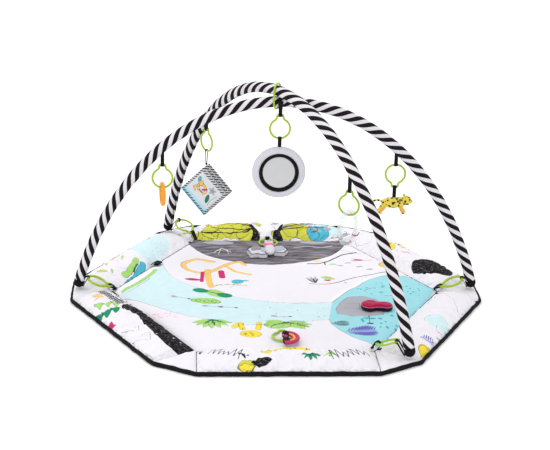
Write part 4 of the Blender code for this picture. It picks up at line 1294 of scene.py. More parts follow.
    def side(self, index: int) -> None:
        """One padded side, puffed up by cloth simulation and printed."""
        coarse = (73, 25)
        along = packed_rows(coarse[0], 0.35)[:, None]
        across = packed_rows(coarse[1], 0.8)[None]
        half = HEX_RADIUS / 2 - 0.0004
        z = self.floor + self.crown(across, along, self.side_height - self.floor - 0.004)
        seam = APOTHEM + 0.0004
        s = seam + (across + 1) / 2 * (PANEL_WIDTH - 0.0006) + 0 * along
        t = along * half + 0 * across
        z += 0.0008 * ripple(s, t, 0.030, 60 + index) * (1 - across**2) * (1 - along**2)
        grid = turned(np.stack([s, t, z], 2), side_angle(index))
        grid = billow(grid, 0.035, 2.2, 0.0065, self.side_rows)
        u = np.linspace(-1, 1, self.side_rows[0])[:, None]
        v = np.linspace(-1, 1, self.side_rows[1])[None]
        inside = (1 - np.abs(u) ** 16) * (1 - np.abs(v) ** 10)
        radial = polar(1, side_angle(index))
        reach = grid @ radial
        sideways = grid @ polar(1, side_angle(index) + 90)
        pleat = np.sin(sideways * 2 * np.pi / 0.021 + 3 * ripple(sideways, reach, 0.08, 80 + index))
        near_seam = np.exp(-np.abs(reach - seam) / 0.016)
        near_seam = near_seam + 0.7 * np.exp(-np.abs(seam + PANEL_WIDTH - reach) / 0.014)
        grid[
            ..., 2] += inside * (0.0010 * pleat * near_seam + 0.0007 * ripple(sideways, reach, 0.055,
            90 + index))
        grid[..., 2] = np.maximum(grid[..., 2], self.floor)
        piece = grid_object(f"side_pad_{index + 1}", grid, floor=True)
        page = Print(grid.reshape(-1, 3)[:, :2])
        draw_border(page)
        self.cover(piece, page, f"printed_side_{index + 1}", f"side_bolster_{index + 1}", 0.55)

    def corner(self, index: int) -> None:
        """One soft corner piece: a fan from the hexagon's corner, low at its seams, creased to its tip."""
        reach = PANEL_WIDTH - 0.0016
        share = packed_rows(56, 0.6)[:, None] / 2 + 0.5
        turn = packed_rows(49, 0.6)[None] * 30
        edge = math.cos(math.radians(30)) / np.cos(np.radians(turn))
        distance = 0.0012 + share * reach * edge
        x = HEX_RADIUS + distance * np.cos(np.radians(turn))
        y = distance * np.sin(np.radians(turn))
        rise = np.maximum((1 - np.abs(turn / 30) ** 5) * (1 - np.abs(2 * share - 1) ** 8), 0) ** 0.6
        crease = np.cos(np.radians(turn) * 20) * np.exp(-((share - 0.4) / 0.4) ** 2)
        z = self.floor + (self.corner_height - self.floor) * rise
        z = z + rise * (0.0008 * crease + 0.0006 * ripple(x, y, 0.03, 20 + index))
        z[:, [0, -1]] = self.floor
        z[[0, -1]] = self.floor
        grid = turned(np.stack([x, y, z], 2), index * 60)
        piece = grid_object(f"corner_pad_{index + 1}", grid, floor=True)
        page = Print(grid.reshape(-1, 3)[:, :2])
        draw_border(page)
        self.cover(piece, page, f"printed_corner_{index + 1}", f"corner_gusset_{index + 1}", 0.3)

    def tab(self) -> None:
        """A folded black tape tab sewn into the seam of the left side."""
        flap = polar(0.371, 152)
        ahead, level = polar(1, 150), Z_AXIS
        route = [
            flap + ahead * 0.014 + level * 0.0160, flap + ahead * 0.008 + level * 0.0225, flap + level
            * 0.0238, flap - ahead * 0.008 + level * 0.0228, flap - ahead * 0.0100 + level * 0.0208, flap
            - ahead * 0.006 + level * 0.0195, flap + ahead * 0.006 + level * 0.0190]
        piece = band_object("side_tab", smooth_path(route, 40), polar(1, 240), 0.024, FINE_TAPE)
        dress(piece, WEBBING, "mat", "webbing")

    def build(self) -> None:
        """All of the mat."""
        self.sheet_underside()
        self.binding()
        self.quilt()
        for index in range(6):
            self.side(index)
            self.corner(index)
        self.tab()


def dress(
        piece: bpy.types.Object, material: bpy.types.Material, body: Optional[str], slot: str, *nodes: str,
        fill: Optional[float] = None) -> None:
    """Finish a piece and give it its place in the frame.

    Args:
        piece: the piece, already in place.
        material: what it is made of.
        body: the body it rides on, or None for a piece that spans two bodies; it is then left unattached.
        slot: its material slot; not used.
        nodes: the CAD nodes it stands for.
        fill: how full it is, if it is padded; not used.
    """
    piece.data.materials.clear()
    piece.data.materials.append(material)
    if body is not None:
        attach(piece, body)
    if nodes:
        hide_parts(*nodes)
    LOG.info("%s: %d vertices", piece.name, len(piece.data.vertices))


# --- arches -----------------------------------------------------------------------------------------
@dataclass(frozen=True)
class Arch:
    """A sprung rod in a striped sleeve, bent into a stretch of an ellipse between two pivots."""

    name: str
    body: str
    heading: float                 # direction of the foot line, in degrees from +X
    lean: float
    apex: float                    # height of the middle above the pivots
    drop: float                    # depth of the ellipse's centre below the pivots
    stripe_shift: float = 0.0
    pivot_radius: float = 0.535
    pivot_height: float = 0.035

    def to_world(self, points: Array) -> Array:
        """Turn points from the arch's own frame into place."""
        return turned(turned(points, self.lean, "X"), self.heading) + (0, 0, self.pivot_height)

    @property
    def wide(self) -> float:
        """Half width of the ellipse that passes through both pivots."""
        return self.pivot_radius / math.sqrt(1 - (self.drop / (self.apex + self.drop)) ** 2)

    def curve(self, angle: Array) -> Array:
        """The centreline at angles in radians measured from the top: (a sin, 0, b cos - drop)."""
        rise = (self.apex + self.drop) * np.cos(angle) - self.drop
        return self.to_world(np.stack([self.wide * np.sin(angle), 0 * angle, rise], -1))

    @property
    def foot_angle(self) -> float:
        """Angle of the pivots, measured from the top."""
        return math.acos(self.drop / (self.apex + self.drop))

    def at(self, reach: float) -> Array:
        """World position of the centreline at a distance along the foot line."""
        return self.curve(np.array(math.asin(reach / self.wide)))

    def build(self) -> None:
        """The sleeve, which also stands in for the hidden rod, and its two feet."""
        path = even_path(self.curve(np.linspace(-self.foot_angle, self.foot_angle, 500)), 0.0025)
        length = path_lengths(path)
        keep = (length > 0.0062) & (length < length[-1] - 0.0062)
        inner, along = path[keep], length[keep]
        flank = unit(self.to_world(np.array([0.0, -1.0, 0.0])) - self.to_world(np.zeros(3)))
        tangent = unit(np.gradient(inner, axis=0))
        outward = np.cross(np.broadcast_to(flank, tangent.shape), tangent)
        outward *= np.sign(outward[len(outward) // 2, 2])
        turn = np.linspace(0, 2 * np.pi, 41)[:-1]
        direction = (-np.cos(turn)[None, :, None] * outward[:, None] + np.sin(turn)[None, :, None] * flank)
        s, a = np.meshgrid(along, turn, indexing="ij")
        bunch = np.exp(-along / 0.05) + np.exp(-(length[-1] - along) / 0.05)
        dent = np.exp(-(np.minimum(a, 2 * np.pi - a) / 0.16) ** 2)
        radius = SLEEVE_RADIUS - 0.0004 - 0.0011 * dent
        radius = radius + 0.00035 * ripple(
            s, a * SLEEVE_RADIUS, 0.05, 31) + 0.00020 * np.sin(s * 2 * np.pi / 0.012) * dent
        radius = radius + 0.0005 * bunch[:, None] * np.sin(s * 2 * np.pi / 0.011 + 2 * np.cos(a))
        close = np.minimum(1, np.minimum(along - along[0], along[-1] - along) / 0.004)
        radius = radius * (0.88 + 0.12 * np.sqrt(np.maximum(close, 0)))[:, None]
        grid = inner[:, None] + direction * radius[..., None]
        sleeve = grid_object(f"{self.name}_striped_sleeve", grid, wrap=True, u=along)
        stripes = Stripes(name=f"{self.name}_stripes", shift=self.stripe_shift).material()
        dress(
            sleeve, stripes, self.body, "sleeve_fabric", f"{self.name}_sleeve", f"{self.name}_rod",
            fill=0.8)
        for side, foot, sign in (("left", path[0], 1), ("right", path[-1], -1)):
            self.foot(side, foot, tangent[0 if sign > 0 else -1] * sign)

    def foot(self, side: str, foot: Array, rise: Array) -> None:
        """A black cloth foot: a puckered cap over the rod's end, with gathers that run to its tip."""
        steps = 40
        turn = np.linspace(0, 2 * np.pi, steps, endpoint=False)[None]
        down = np.linspace(0, np.pi / 2 - 0.04, 16)[:, None]
        ball = SLEEVE_RADIUS - 0.0003
        gathers = 1 + 0.035 * np.cos(turn * 11) * np.sin(down * 2)
        dome_r = ball * np.cos(down) * gathers
        dome_h = -ball * np.sin(down) + 0 * turn
        collar_h = np.array([0.0068, 0.0064, 0.0055, 0.0035, 0.0015])[:, None] + 0 * turn
        collar_r = ball * np.array([0.90, 0.985, 1.015, 1.0, 1.0])[:, None] * (1 + 0.02 * np.cos(turn * 11))
        radius, height = np.concatenate([collar_r, dome_r]), np.concatenate([collar_h, dome_h])
        first = unit(np.cross(rise, (0.3, 0.9, 0.1)))
        second = np.cross(rise, first)
        turn = np.broadcast_to(turn, radius.shape)
        grid = (
            foot + height[..., None] * rise + (radius * np.cos(turn))[..., None] * first
            + (radius * np.sin(turn))[..., None] * second)
        piece = grid_object(f"{self.name}_{side}_cap", grid, wrap=True, u=path_lengths(grid[:, 0]))
        dress(piece, FOOT_CLOTH, self.body, "webbing", f"{self.name}_{side}_foot", fill=0.9)


ARCH_1 = Arch("arch_1", "mat", 0.0, 1.09, 0.511, 0.288, 0.10)
ARCH_2 = Arch("arch_2", "arch_2", -56.0, 1.7, 0.541, 0.417, 0.35)


# --- rings and webbing ------------------------------------------------------------------------------
def ring_path() -> Array:
    """A necked ring in the XZ plane, hung from the middle of its neck bar: two arcs and a neck."""
    middle = (0.0, -RING_NECK)
    left = arc(RING_RADIUS, 177, 116, 22, middle)
    neck = smooth_path(
        [left[-1], (-0.0088, -0.0082), (-0.0080, -0.0026), (-0.0052, 0.0), (0.0052, 0.0), (0.0080, -0.0026),
        (0.0088, -0.0082), (-left[-1][0], left[-1][1])], 44)
    right = arc(RING_RADIUS, 64, -177, 84, middle)
    flat = np.concatenate([left[:-1], neck, right[1:]])
    return np.stack([flat[:, 0], 0 * flat[:, 0], flat[:, 1]], 1)


@dataclass(frozen=True)
class Ring:
    """A green plastic ring with a neck: where its neck bar lies and how it is turned."""

    name: str
    node: str
    body: str
    spot: tuple[float, float, float]
    heading: float = 0.0           # turn about the vertical, in degrees
    tip: float = 0.0               # turn about its own X first
    upside: bool = False

    def place(self, points: Array) -> Array:
        """Put points of the ring's own frame into place."""
        if self.upside:
            points = np.asarray(points) * (1, 1, -1) + (0, 0, -RING_LENGTH)
        return turned(turned(points, self.tip, "X"), self.heading) + np.array(self.spot)

    def build(self, wire: float = RING_WIRE) -> None:
        """The ring, with a moulding seam along the wire."""
        path = self.place(ring_path())
        normal = self.place(Y_AXIS) - self.place(np.zeros(3))
        section = section_round(20)
        flash = 1 + 0.05 * np.exp(-(np.abs(section[:, 0]) - 1) ** 2 / 0.004)
        grid, length = sweep(path, normal, section * flash[:, None] * wire, rounding=wire)
        piece = grid_object(self.name, grid, wrap=True, u=length)
        dress(piece, GREEN_PLASTIC, self.body, "ring_plastic", self.node)


@dataclass(frozen=True)
class Hanging:
    """Where a toy hangs below its arch, and the ring and strap that carry it."""

    name: str
    arch: Arch
    reach: float
    ring_height: float
    heading: float
    forward: float = 0.0

    @property
    def top(self) -> Array:
        """Middle of the upper bar of the ring."""
        spot = self.arch.at(self.reach)
        return np.array([spot[0], spot[1] - self.forward, self.ring_height])

    @property
    def toy(self) -> Array:
        """Middle of the ring's lower wire, where the toy hangs."""
        return self.top - (0, 0, RING_LENGTH)

    def local(self, points: Array, origin: Array) -> Array:
        """Turn points of an upright frame with the ring's heading into place round an origin."""
        return turned(points, self.heading) + origin

    def strap(
            self, name: str, bar: Array, height: float, node: str, body: str, width: float = 0.0098,
            gather: float = 0.0) -> None:
        """A loop of webbing round a bar: down one side, round the bar and up again, sewn above the bar.

        Args:
            name: the piece's name.
            bar: middle of the bar.
            height: how far the strap reaches above the bar, or below it if negative.
            node: the node it stands for.
            body: the body it rides on.
            width: width of the webbing.
            gather: how much wider its far end spreads.
        """
        way = 1 if height > 0 else -1
        eye = arc(0.0042, -68, 248, 26)[::-1]
        rise = np.linspace(abs(height), 0.0062, 14)
        left = np.stack([-0.00085 - 0 * rise, rise], 1)
        right = left[::-1] * (-1, 1)
        flat = np.concatenate([left, (eye * (1, -1)), right])
        path = np.stack([0 * flat[:, 0], flat[:, 0], flat[:, 1] * way], 1)
        path = even_path(path, 0.0012)
        spread = 1 + gather * np.clip((np.abs(path[:, 2]) - 0.012) / 0.02, 0, 1)
        path = self.local(path, bar)
        side = self.local(X_AXIS, np.zeros(3))
        grid, length = sweep(path, side, section_band(width, FINE_TAPE), rounding=0.0006)
        spread = np.concatenate([[spread[0]] * 4, spread, [spread[-1]] * 4])
        offset = (grid - grid.mean(1, keepdims=True)) @ side
        grid = grid + (offset * (spread - 1)[:, None])[..., None] * side
        piece = grid_object(name, grid, wrap=True, u=length)
        dress(piece, WEBBING, body, "webbing", node)
        self.bartack(f"{name}_stitches", bar + np.array([0, 0, way * 0.0085]), side, body, width)

    def bartack(self, name: str, spot: Array, side: Array, body: str, width: float) -> None:
        """A row of raised zigzag stitches across both faces of a strap."""
        teeth = np.linspace(-0.5, 0.5, 15)
        zigzag = 0.0012 * (np.arange(15) % 2 - 0.5)
        depth = np.cross(side, (0, 0, 1.0))
        route = spot + teeth[:, None] * side * width * 0.86 + zigzag[:, None] * np.array([0, 0, 1.0])
        loop = np.concatenate([route + depth * 0.00165, (route - depth * 0.00165)[::-1]])
        path = even_path(np.concatenate([loop, loop[:1]]), 0.0005)[:-1]
        piece = tube_object(name, path, np.array([0.02, 0.01, 1.0]), 0.0003, 6, closed=True)
        dress(piece, THREAD, body, "webbing")

    def build(self) -> None:
        """The strap sewn to the sleeve and the ring below it."""
        node = f"{self.name}_arch_strap"
        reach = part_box(node)[1].z - self.ring_height
        extra = 0.0 if self.forward else 0.002
        self.strap(
            f"{self.name}_strap_webbing", self.top, reach + extra, node, self.arch.body,
            gather=0.35 if self.forward else 0.0)
        Ring(
            f"{self.name}_green_ring", f"{self.name}_ring", f"{self.name}_ring", tuple(self.top),
            self.heading, upside=self.name == "leopard").build()


def corner_rings() -> None:
    """The rings at the arches' corners, each with a tape loop at its neck and one at the foot."""
    corners = ((180.0, 0.0, 0.024), (0.0, 0.0, 0.024), (-60.0, 13.0, 0.033), (120.0, 13.0, 0.033))
    feet = ((ARCH_1, -1), (ARCH_1, 1), (ARCH_2, 1), (ARCH_2, -1))
    for index, ((corner, turn, height), (arch, end)) in enumerate(zip(corners, feet)):
        aim = corner + turn
        spot = polar(HEX_RADIUS, corner) + polar(0.0075, aim, height)
        ring = Ring(
            f"corner_green_ring_{index + 1}", f"corner_ring_{index + 1}", "mat", tuple(spot), aim - 90, 112)
        ring.build(wire=RING_WIRE * (1.0 if arch is ARCH_2 else 1.25))
        inward, up, level = -polar(1, aim), Z_AXIS, polar(1, aim + 90)
        root = spot * (1, 1, 0) + inward * 0.016 + up * 0.013
        route = [
            root, root + up * 0.006 - inward * 0.001, spot + inward * 0.0045 + up * 0.0036, spot - inward
            * 0.001 + up * 0.0048, spot - inward * 0.0050 + up * 0.0008, spot - inward * 0.002 - up
            * 0.0044, spot + inward * 0.004 - up * 0.0040, root + up * 0.0030 + inward * 0.003]
        piece = band_object(f"corner_tab_{index + 1}", smooth_path(route, 44), level, 0.011, TAPE)
        dress(piece, WEBBING, "mat", "webbing")
        far = ring.place(np.array([0.0, 0.0, -RING_LENGTH]))
        foot = arch.curve(np.array(arch.foot_angle * end))
        toward = unit((foot - far) * (1, 1, 0))
        route = [
            far - toward * 0.0046 + up * 0.001, far - toward * 0.001 + up * 0.0048, far + toward * 0.006
            + up * 0.002, far * 0.35 + foot * 0.65 - up * 0.009, foot - toward * 0.011 - up * 0.0125, far
            * 0.5 + foot * 0.5 - up * 0.0165, far + toward * 0.003 - up * 0.0055, far - toward * 0.0035 - up
            * 0.0035]
        level = unit(np.cross(toward, up))
        path = smooth_path(route, 56, closed=True)
        piece = band_object(f"foot_tab_{index + 1}", path, level, 0.010, TAPE, closed=True)
        dress(piece, WEBBING, None if arch is ARCH_2 else "mat", "webbing")
        if arch is ARCH_2:
            far - toward * 0.002
            foot * 0.55 + far * 0.45
            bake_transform(piece)


def crossing_ring() -> None:
    """The open oval ring round both sleeves where the arches cross: an oblong loop with round ends."""
    low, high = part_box("crossing_ring")
    centre = (np.array(low) + np.array(high)) / 2
    wide, tall = 0.0205, 0.0335
    straight = tall - wide
    lower = arc(wide, -98, 0, 24, (0, -straight))
    upper = arc(wide, 0, 180, 36, (0, straight))
    back = arc(wide, 180, 256, 20, (0, -straight))
    flat = np.concatenate([lower, upper, back])
    path = even_path(np.stack([flat[:, 0], 0 * flat[:, 0], flat[:, 1]], 1), 0.0012)
    halfway = (ARCH_1.heading + ARCH_2.heading) / 2 + 90
    path = turned(path, halfway) + (centre[0], centre[1], high.z - tall - 0.0025)
    piece = tube_object("crossing_green_ring", path, turned(Y_AXIS, halfway), 0.0025)
    dress(piece, GREEN_PLASTIC, "arch_2", "ring_plastic", "crossing_ring")


# --- toys -------------------------------------------------------------------------------------------
def spotted(name: str, base: Colour, spot: Colour, cells: float, size: float) -> bpy.types.Material:
    """Short plush with dark broken spots, each paler in its middle, and painted shade where the pile is low.

    Args:
        name: the material's name.
        base: colour of the plush.
        spot: colour of the spots.
        cells: spots in a metre.
        size: size of a spot, as a share of its cell.

    Returns:
        The material.
    """
    recipe = Recipe(name)
    distance = recipe.cells(cells) + recipe.noise(350, 3) * 0.22 - 0.11
    ring = (1 - distance.above(size, 0.03)) * distance.above(size * 0.30, 0.05)
    pile = recipe.noise(1100, 3)
    # Painted shade: the plush is darker where the pile's bump is low, in the hollows between the tufts.
    plush = recipe.mix(pile, tuple(c * 0.85 for c in base), base)
    recipe.relief(pile + recipe.noise(120, 2), 0.0012, 0.6)
    recipe.finish(Base_Color=recipe.mix(ring, plush, spot), Roughness=pile * 0.1 + 0.8)
    return recipe.finish(Sheen_Weight=0.25, Specular_IOR_Level=0.2)


@dataclass(frozen=True)
class Teether:
    """An open rubber teething ring with two bands of soft ribs."""

    hang: Hanging
    major: float = 0.027
    minor: float = 0.0055

    def build(self) -> None:
        """The ring: a torus whose tube swells into ribs on its lower half."""
        turn = np.linspace(0, 360, 145)[:-1]
        flat = np.stack([np.cos(np.radians(turn)), np.sin(np.radians(turn))], 1) * self.major
        low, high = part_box("teether_toy")
        centre = (np.array(low) + np.array(high)) / 2
        path = np.stack([0 * turn, flat[:, 0], flat[:, 1]], 1)
        path = turned(path, 8) + (centre[0], centre[1], centre[2])
        ribbed = np.exp(-((turn - 270) / 42) ** 4)
        ribs = 1 + 0.045 * ribbed * np.sin(np.radians(turn) * 40) - 0.05 * ribbed
        piece = tube_object(
            "teether_rubber_ring", path, turned(X_AXIS, 8), self.minor, 24, closed=True, scale=ribs)
        orange = Plastic("orange_rubber", linear(1.0, 0.66, 0.14), rough=0.42, coat=0.05, glow=0.3)
        dress(piece, orange.material(), "teether", "teether_rubber", "teether_toy")


@dataclass(frozen=True)
class Mirror:
    """A round padded disc with a piped black edge round a polished mirror film."""

    hang: Hanging
    drop: float = 0.023
    radius: float = 0.0695
    rim: float = 0.0520
    glass: float = 0.0441

    def build(self) -> None:
        """The strap, the padded disc, its piping, the black edge and the film."""
        self.hang.strap("mirror_strap", self.hang.toy, -self.drop - 0.002, "mirror_hanger", "mirror")
        centre = self.hang.toy - (0, 0, self.drop + self.radius + 0.0003)
        place = Matrix.Translation(Vector(centre)) @ Matrix.Rotation(math.pi / 2, 4, "X")
        edge = self.radius
        front = smooth_path(
            [(edge, 0.0), (edge - 0.0012, 0.0048), (edge - 0.006, 0.0086), (edge - 0.012, 0.0098),
            (self.rim + 0.0004, 0.0078), (self.rim + 0.0004, 0.0040)], 26)
        back = smooth_path(
            [(0.0, -0.0103), (0.030, -0.0101), (0.052, -0.0088), (edge - 0.004, -0.0055), (edge, -0.0006)],
            30)
        profile = np.concatenate([[(0.0, 0.0031)], front[::-1], back[::-1]])
        pad = lathe_object("mirror_cloth_pad", profile, 160, place)
        points = points_of(pad)
        local = (points - centre) @ np.array(place.to_3x3())
        bearing = np.arctan2(local[:, 1], local[:, 0])
        reach = np.hypot(local[:, 0], local[:, 1])
        gather = np.exp(
            -((reach - edge + 0.004) / 0.006) ** 2) * np.sin(bearing * 58 + 2 * np.sin(bearing * 5))
        points += 0.00035 * gather[
            :, None] * (local / np.maximum(reach, 1e-6)[:, None]) @ np.array(place.to_3x3()).T
        set_points(pad, points)
        dress(
            pad, Cloth("mirror_cloth", linear(0.80, 0.79, 0.825), crease=0.0004).material(), "mirror",
            "mirror_cloth", "mirror_pad", fill=0.7)
        turn = np.radians(np.linspace(0, 360, 181)[:-1])
        seam = edge - 0.0004
        path = np.stack([seam * np.cos(turn), 0 * turn + 0.0004, seam * np.sin(turn)], 1) + centre
        pipe = tube_object("mirror_piping", path, Y_AXIS, 0.0013, 10, closed=True)
        dress(pipe, Cloth("pale_piping", linear(0.70, 0.69, 0.72)).material(), "mirror", "mirror_cloth")
        bezel = smooth_path(
            [(self.glass, 0.0036), (self.glass, 0.0088), (self.glass + 0.0022, 0.0106), (self.rim - 0.0022,
            0.0106), (self.rim, 0.0085), (self.rim, 0.0036)], 34)
        ring = lathe_object(
            "mirror_black_edge", np.concatenate([bezel, [(self.glass + 0.001, 0.0034)]]), 120, place)
        dress(
            ring, Cloth("black_edging", linear(0.06, 0.055, 0.06), thread=0.0007, rough=0.6).material(),
            "mirror", "bezel_cloth", "mirror_bezel")
        film = np.array(
            [(0.0, 0.0058), (0.020, 0.0058), (0.040, 0.0057), (self.glass - 0.0008, 0.0056),
            (self.glass - 0.0003, 0.0052), (self.glass - 0.0003, 0.0036), (0.0, 0.0036)])
        glass = lathe_object("mirror_film", film, 120, place)
        recipe = Recipe("mirror_film")
        recipe.relief(recipe.noise(28, 2), 0.0010, 0.10)
        haze = recipe.noise(18, 4)
        silver = recipe.finish(
            Base_Color=recipe.mix(haze, linear(0.72, 0.72, 0.725), linear(0.78, 0.78, 0.785)),
            Roughness=haze * 0.10 + 0.16, Metallic=0.9)
        dress(glass, silver, "mirror", "mirror_film", "mirror_plate")


@dataclass(frozen=True)
class Rattle:
    """A clear oval hoop with coloured beads in the chamber at its lower end."""

    hang: Hanging
    tube: float = 0.006
    wide: float = 0.026
    tall: float = 0.043
    turn: float = 57.0

    def build(self) -> None:
        """The hoop, the chamber's two collars, the chamber and the beads."""
        lift = RING_WIRE + 0.0006 + self.tube - self.tall
        origin = self.hang.toy + (0, 0, lift)
        heading = self.hang.heading + self.turn

        def oval(start: float, end: float, steps: int) -> Array:
            """Points along the hoop's oval centreline, in place."""
            angle = np.radians(np.linspace(start, end, steps + 1))
            return turned(
                np.stack([self.wide * np.cos(angle), 0 * angle, self.tall * np.sin(angle)], 1),
                heading) + origin
        normal = turned(Y_AXIS, heading)
        recipe = Recipe("clear_plastic")
        clear = recipe.noise(60, 2)
        recipe.relief(clear, 0.0004, 0.3)
        glassy = recipe.finish(
            Base_Color=recipe.mix(clear, linear(0.86, 0.89, 0.90), linear(0.95, 0.96, 0.965)),
            Roughness=clear * 0.08 + 0.08, Alpha=clear * 0.12 + 0.38, Coat_Weight=0.6, Coat_Roughness=0.05,
            Specular_IOR_Level=0.8)
        hoop = tube_object("rattle_clear_hoop", oval(-34, 214, 110), normal, self.tube, 24, flat=True)
        dress(hoop, glassy, "rattle", "clear_plastic", "rattle_hoop")
        chamber = tube_object("rattle_clear_chamber", oval(-37, -143, 56), normal, self.tube, 24, flat=True)
        dress(chamber, glassy, "rattle", "clear_plastic", "rattle_chamber")
        for side, angle in (("left", -145.5), ("right", -34.5)):
            collar = tube_object(
                f"rattle_collar_{side}", oval(angle - 2.2, angle + 2.2, 6), normal, self.tube * 1.05, 24,
                flat=True, scale=np.array([0.9, 0.97, 1, 1, 1, 0.97, 0.9]))
            dress(collar, RED_BEAD if side == "right" else GREY_BEAD, "rattle", "clear_plastic")
        spots = oval(-68, -116, 4)
        colours = (RED_BEAD, TEAL_BEAD, RED_BEAD, BLACK_BEAD, TEAL_BEAD)
        for index, (spot, colour) in enumerate(zip(spots, colours)):
            bead = grid_object(
                f"rattle_bead_{index + 1}", ellipsoid_grid(spot, (0.0038, 0.0038, 0.0036), 20), wrap=True)
            names = ("rattle_beads",) if index == 0 else ()
            dress(bead, colour, "rattle", "bead_plastic", *names)


@dataclass(frozen=True)
class Book:
    """A soft square book hung by a corner: two covers, a page and a binding along the lower left edge."""

    hang: Hanging
    drop: float = 0.041
    side: float = 0.104
    pitch: float = 0.0078
    leaf: float = 0.0056
    fan: float = 8.0

    def place(self, points: Array, fan: float, offset: float) -> Array:
        """Put a leaf's points in place: x from the spine, y through the leaf, z along the spine."""
        points = turned(points, fan) + (-self.side / 2, offset, 0)
        points = turned(turned(points, -45, "Y"), self.hang.heading + 30)
        return points + self.hang.toy - (0, 0, self.drop + self.side / math.sqrt(2) + 0.0022)

    def leaf_grid(self, bulge: float, seed: int) -> Array:
        """A padded square: a superellipse in both directions, thickest inside its stitched border."""
        a = packed_rows(141, 0.45)[:, None]
        b = packed_rows(141, 0.45)[None]
        rise = ((1 - np.abs(a) ** 8) * (1 - np.abs(b) ** 8)) ** 0.5
        border = 1 - 0.30 * np.exp(-((np.maximum(np.abs(a), np.abs(b)) - 0.86) / 0.025) ** 2)
        thick = self.leaf / 2 * rise * border
        soft = rise * 0.00030 * ripple(a, b, 0.35, seed)
        half = self.side / 2 - 0.0003
        x, z = (a + 1) * half + 0.0003 + 0 * b, b * half + 0 * a
        curl = bulge * (a + 1) ** 2 * 0.5 + 0 * b
        front = np.stack([x, -thick + soft + curl, z], 2)
        back = np.stack([x, thick + soft + curl, z], 2)
        return np.concatenate([front, back[::-1]])

    def printed(self, name: str, seed: int) -> tuple[bpy.types.Object, Print]:
        """A leaf's object, still in the book's plane, and the page for its print."""
        grid = self.leaf_grid(0.0, seed)
        piece = grid_object(name, grid, wrap=False)
        merge_rim(piece)
        points = points_of(piece)
        return piece, Print(points[:, [0, 2]])

    def cover(self, name: str, node: str, body: str, side: int, seed: int, pictured: bool) -> None:
        """One leaf with a striped binding round it and a print of its own inside.

        Args:
            name: the piece's name.
            node: the CAD node it stands for.
            body: the body it rides on.
            side: -1 for the front cover, 0 for the page, 1 for the back cover.
            seed: seed of its creases and of its scattered leaves.
            pictured: whether it has the cover's picture, or else scattered leaves.
        """
        piece, page = self.printed(name, seed)
        middle = (self.side / 2, 0.0)
        page.hatch(Ink.BLACK, middle, self.side / 2, 0.0085, 0.0098)
        if pictured:
            page.patch(Ink.COVER, mm(0, -60, 21, -60, 19, 0, 22, 60, 0, 60), 0)
            page.stroke(Ink.SAND, mm(44, 16, 56, 24, 68, 14, 62, -2, 48, -4), 0.0075)
            page.stroke(Ink.SAND, mm(52, 22, 40, 30, 34, 20), 0.0045)
            page.blot(Ink.SAND, (0.066, 0.022), (0.0090, 0.0075))
            page.stroke(Ink.BERRY, mm(54, 6, 66, -2), 0.0045, smooth=0)
            page.stroke(Ink.BERRY, mm(46, 12, 46, 2), 0.0035, smooth=0)
            page.blot(Ink.FERN, (0.046, -0.022), (0.0130, 0.0055), 20)
            page.stroke(Ink.LEAF, mm(34, -28, 58, -16), 0.0030, smooth=0)
            page.frond(Ink.SMOKE, (0.078, -0.016), 0.014, (30, 102, 174, 246, 318), 0.5)
            page.blot(Ink.SUN, (0.078, -0.016), (0.0035, 0.0035))
            page.stroke(Ink.LINE, mm(30, -36, 52, -32, 76, -36), 0.0010)
            page.blot(Ink.SKY, (0.072, 0.034), (0.0080, 0.0045), 20)
        else:
            page.hatch(Ink.SKY, middle, self.side / 2 - 0.0085, 0.0015, 1.0)
            rng = np.random.default_rng(seed)
            for _ in range(7):
                ink = (Ink.ROSE, Ink.LEAF, Ink.SKY, Ink.BERRY)[int(rng.integers(4))]
                page.leaf(ink, rng.uniform((0.022, -0.036), (0.074, 0.030)), 0.020, rng.uniform(0, 360), 0.5)
        inks = page.store(piece)
        set_points(piece, self.place(points_of(piece), side * self.fan, side * self.pitch))
        cloth = PrintedCloth(f"{name}_cloth", inks, linear(0.885, 0.890, 0.905), bound=-1.0)
        dress(piece, cloth.material(), body, "book_cloth", node, fill=0.4)

    def build(self) -> None:
        """The cord, the three leaves and the binding."""
        bar = self.hang.toy
        corner = bar - (0, 0, self.drop)
        across = turned(X_AXIS, self.hang.heading)
        loop = arc(0.0041, 200, -20, 16)
        flat = np.concatenate(
            [[(-0.0012, -self.drop - 0.001)], [(-0.0030, -0.020)], loop, [(0.0030, -0.020)], [(0.0012,
            -self.drop - 0.001)]])
        path = smooth_path(np.stack([0 * flat[:, 0], flat[:, 0], flat[:, 1]], 1), 70)
        path = turned(path, self.hang.heading) + bar
        cord = tube_object("book_hanging_cord", path, across, 0.0011, 10)
        dress(cord, WEBBING, "book", "webbing", "book_cord")
        turn = np.linspace(0, 4 * np.pi, 50)
        wrap = np.stack([0.0022 * np.cos(turn), 0.0018 * np.sin(turn), 0.0010 * turn / np.pi], 1) + corner
        knot = tube_object("book_cord_knot", wrap, np.array([0.02, 0.0, 1.0]), 0.0010, 8)
        dress(knot, WEBBING, "book", "webbing")
        self.cover("book_cloth_front", "book_front_cover", "book_front", -1, 3, True)
        self.cover("book_cloth_page", "book_page", "book", 0, 4, False)
        self.cover("book_cloth_back", "book_back_cover", "book_back", 1, 6, False)
        y = np.linspace(-1, 1, 25)[:, None] * (1.5 * self.pitch)
        z = np.linspace(-0.5, 0.5, 61)[None] * self.side
        puff = 0.0006 * (
            1 - np.abs(y / (1.5 * self.pitch)) ** 4) + 0.0003 * np.cos(y * 2 * np.pi / self.pitch)
        outer = np.stack([-0.0016 - puff + 0 * z, y + 0 * z, z + 0 * y], 2)
        inner = outer * (0, 1, 1) + (-0.0004, 0, 0)
        spine = grid_object(
            "book_cloth_binding", self.place(np.concatenate([outer, inner[::-1]]), 0, 0), wrap=False)
        merge_rim(spine)
        dress(
            spine, Cloth("book_binding", linear(0.62, 0.82, 0.88), crease=0.0003).material(), "book",
            "book_binding", "book_spine")


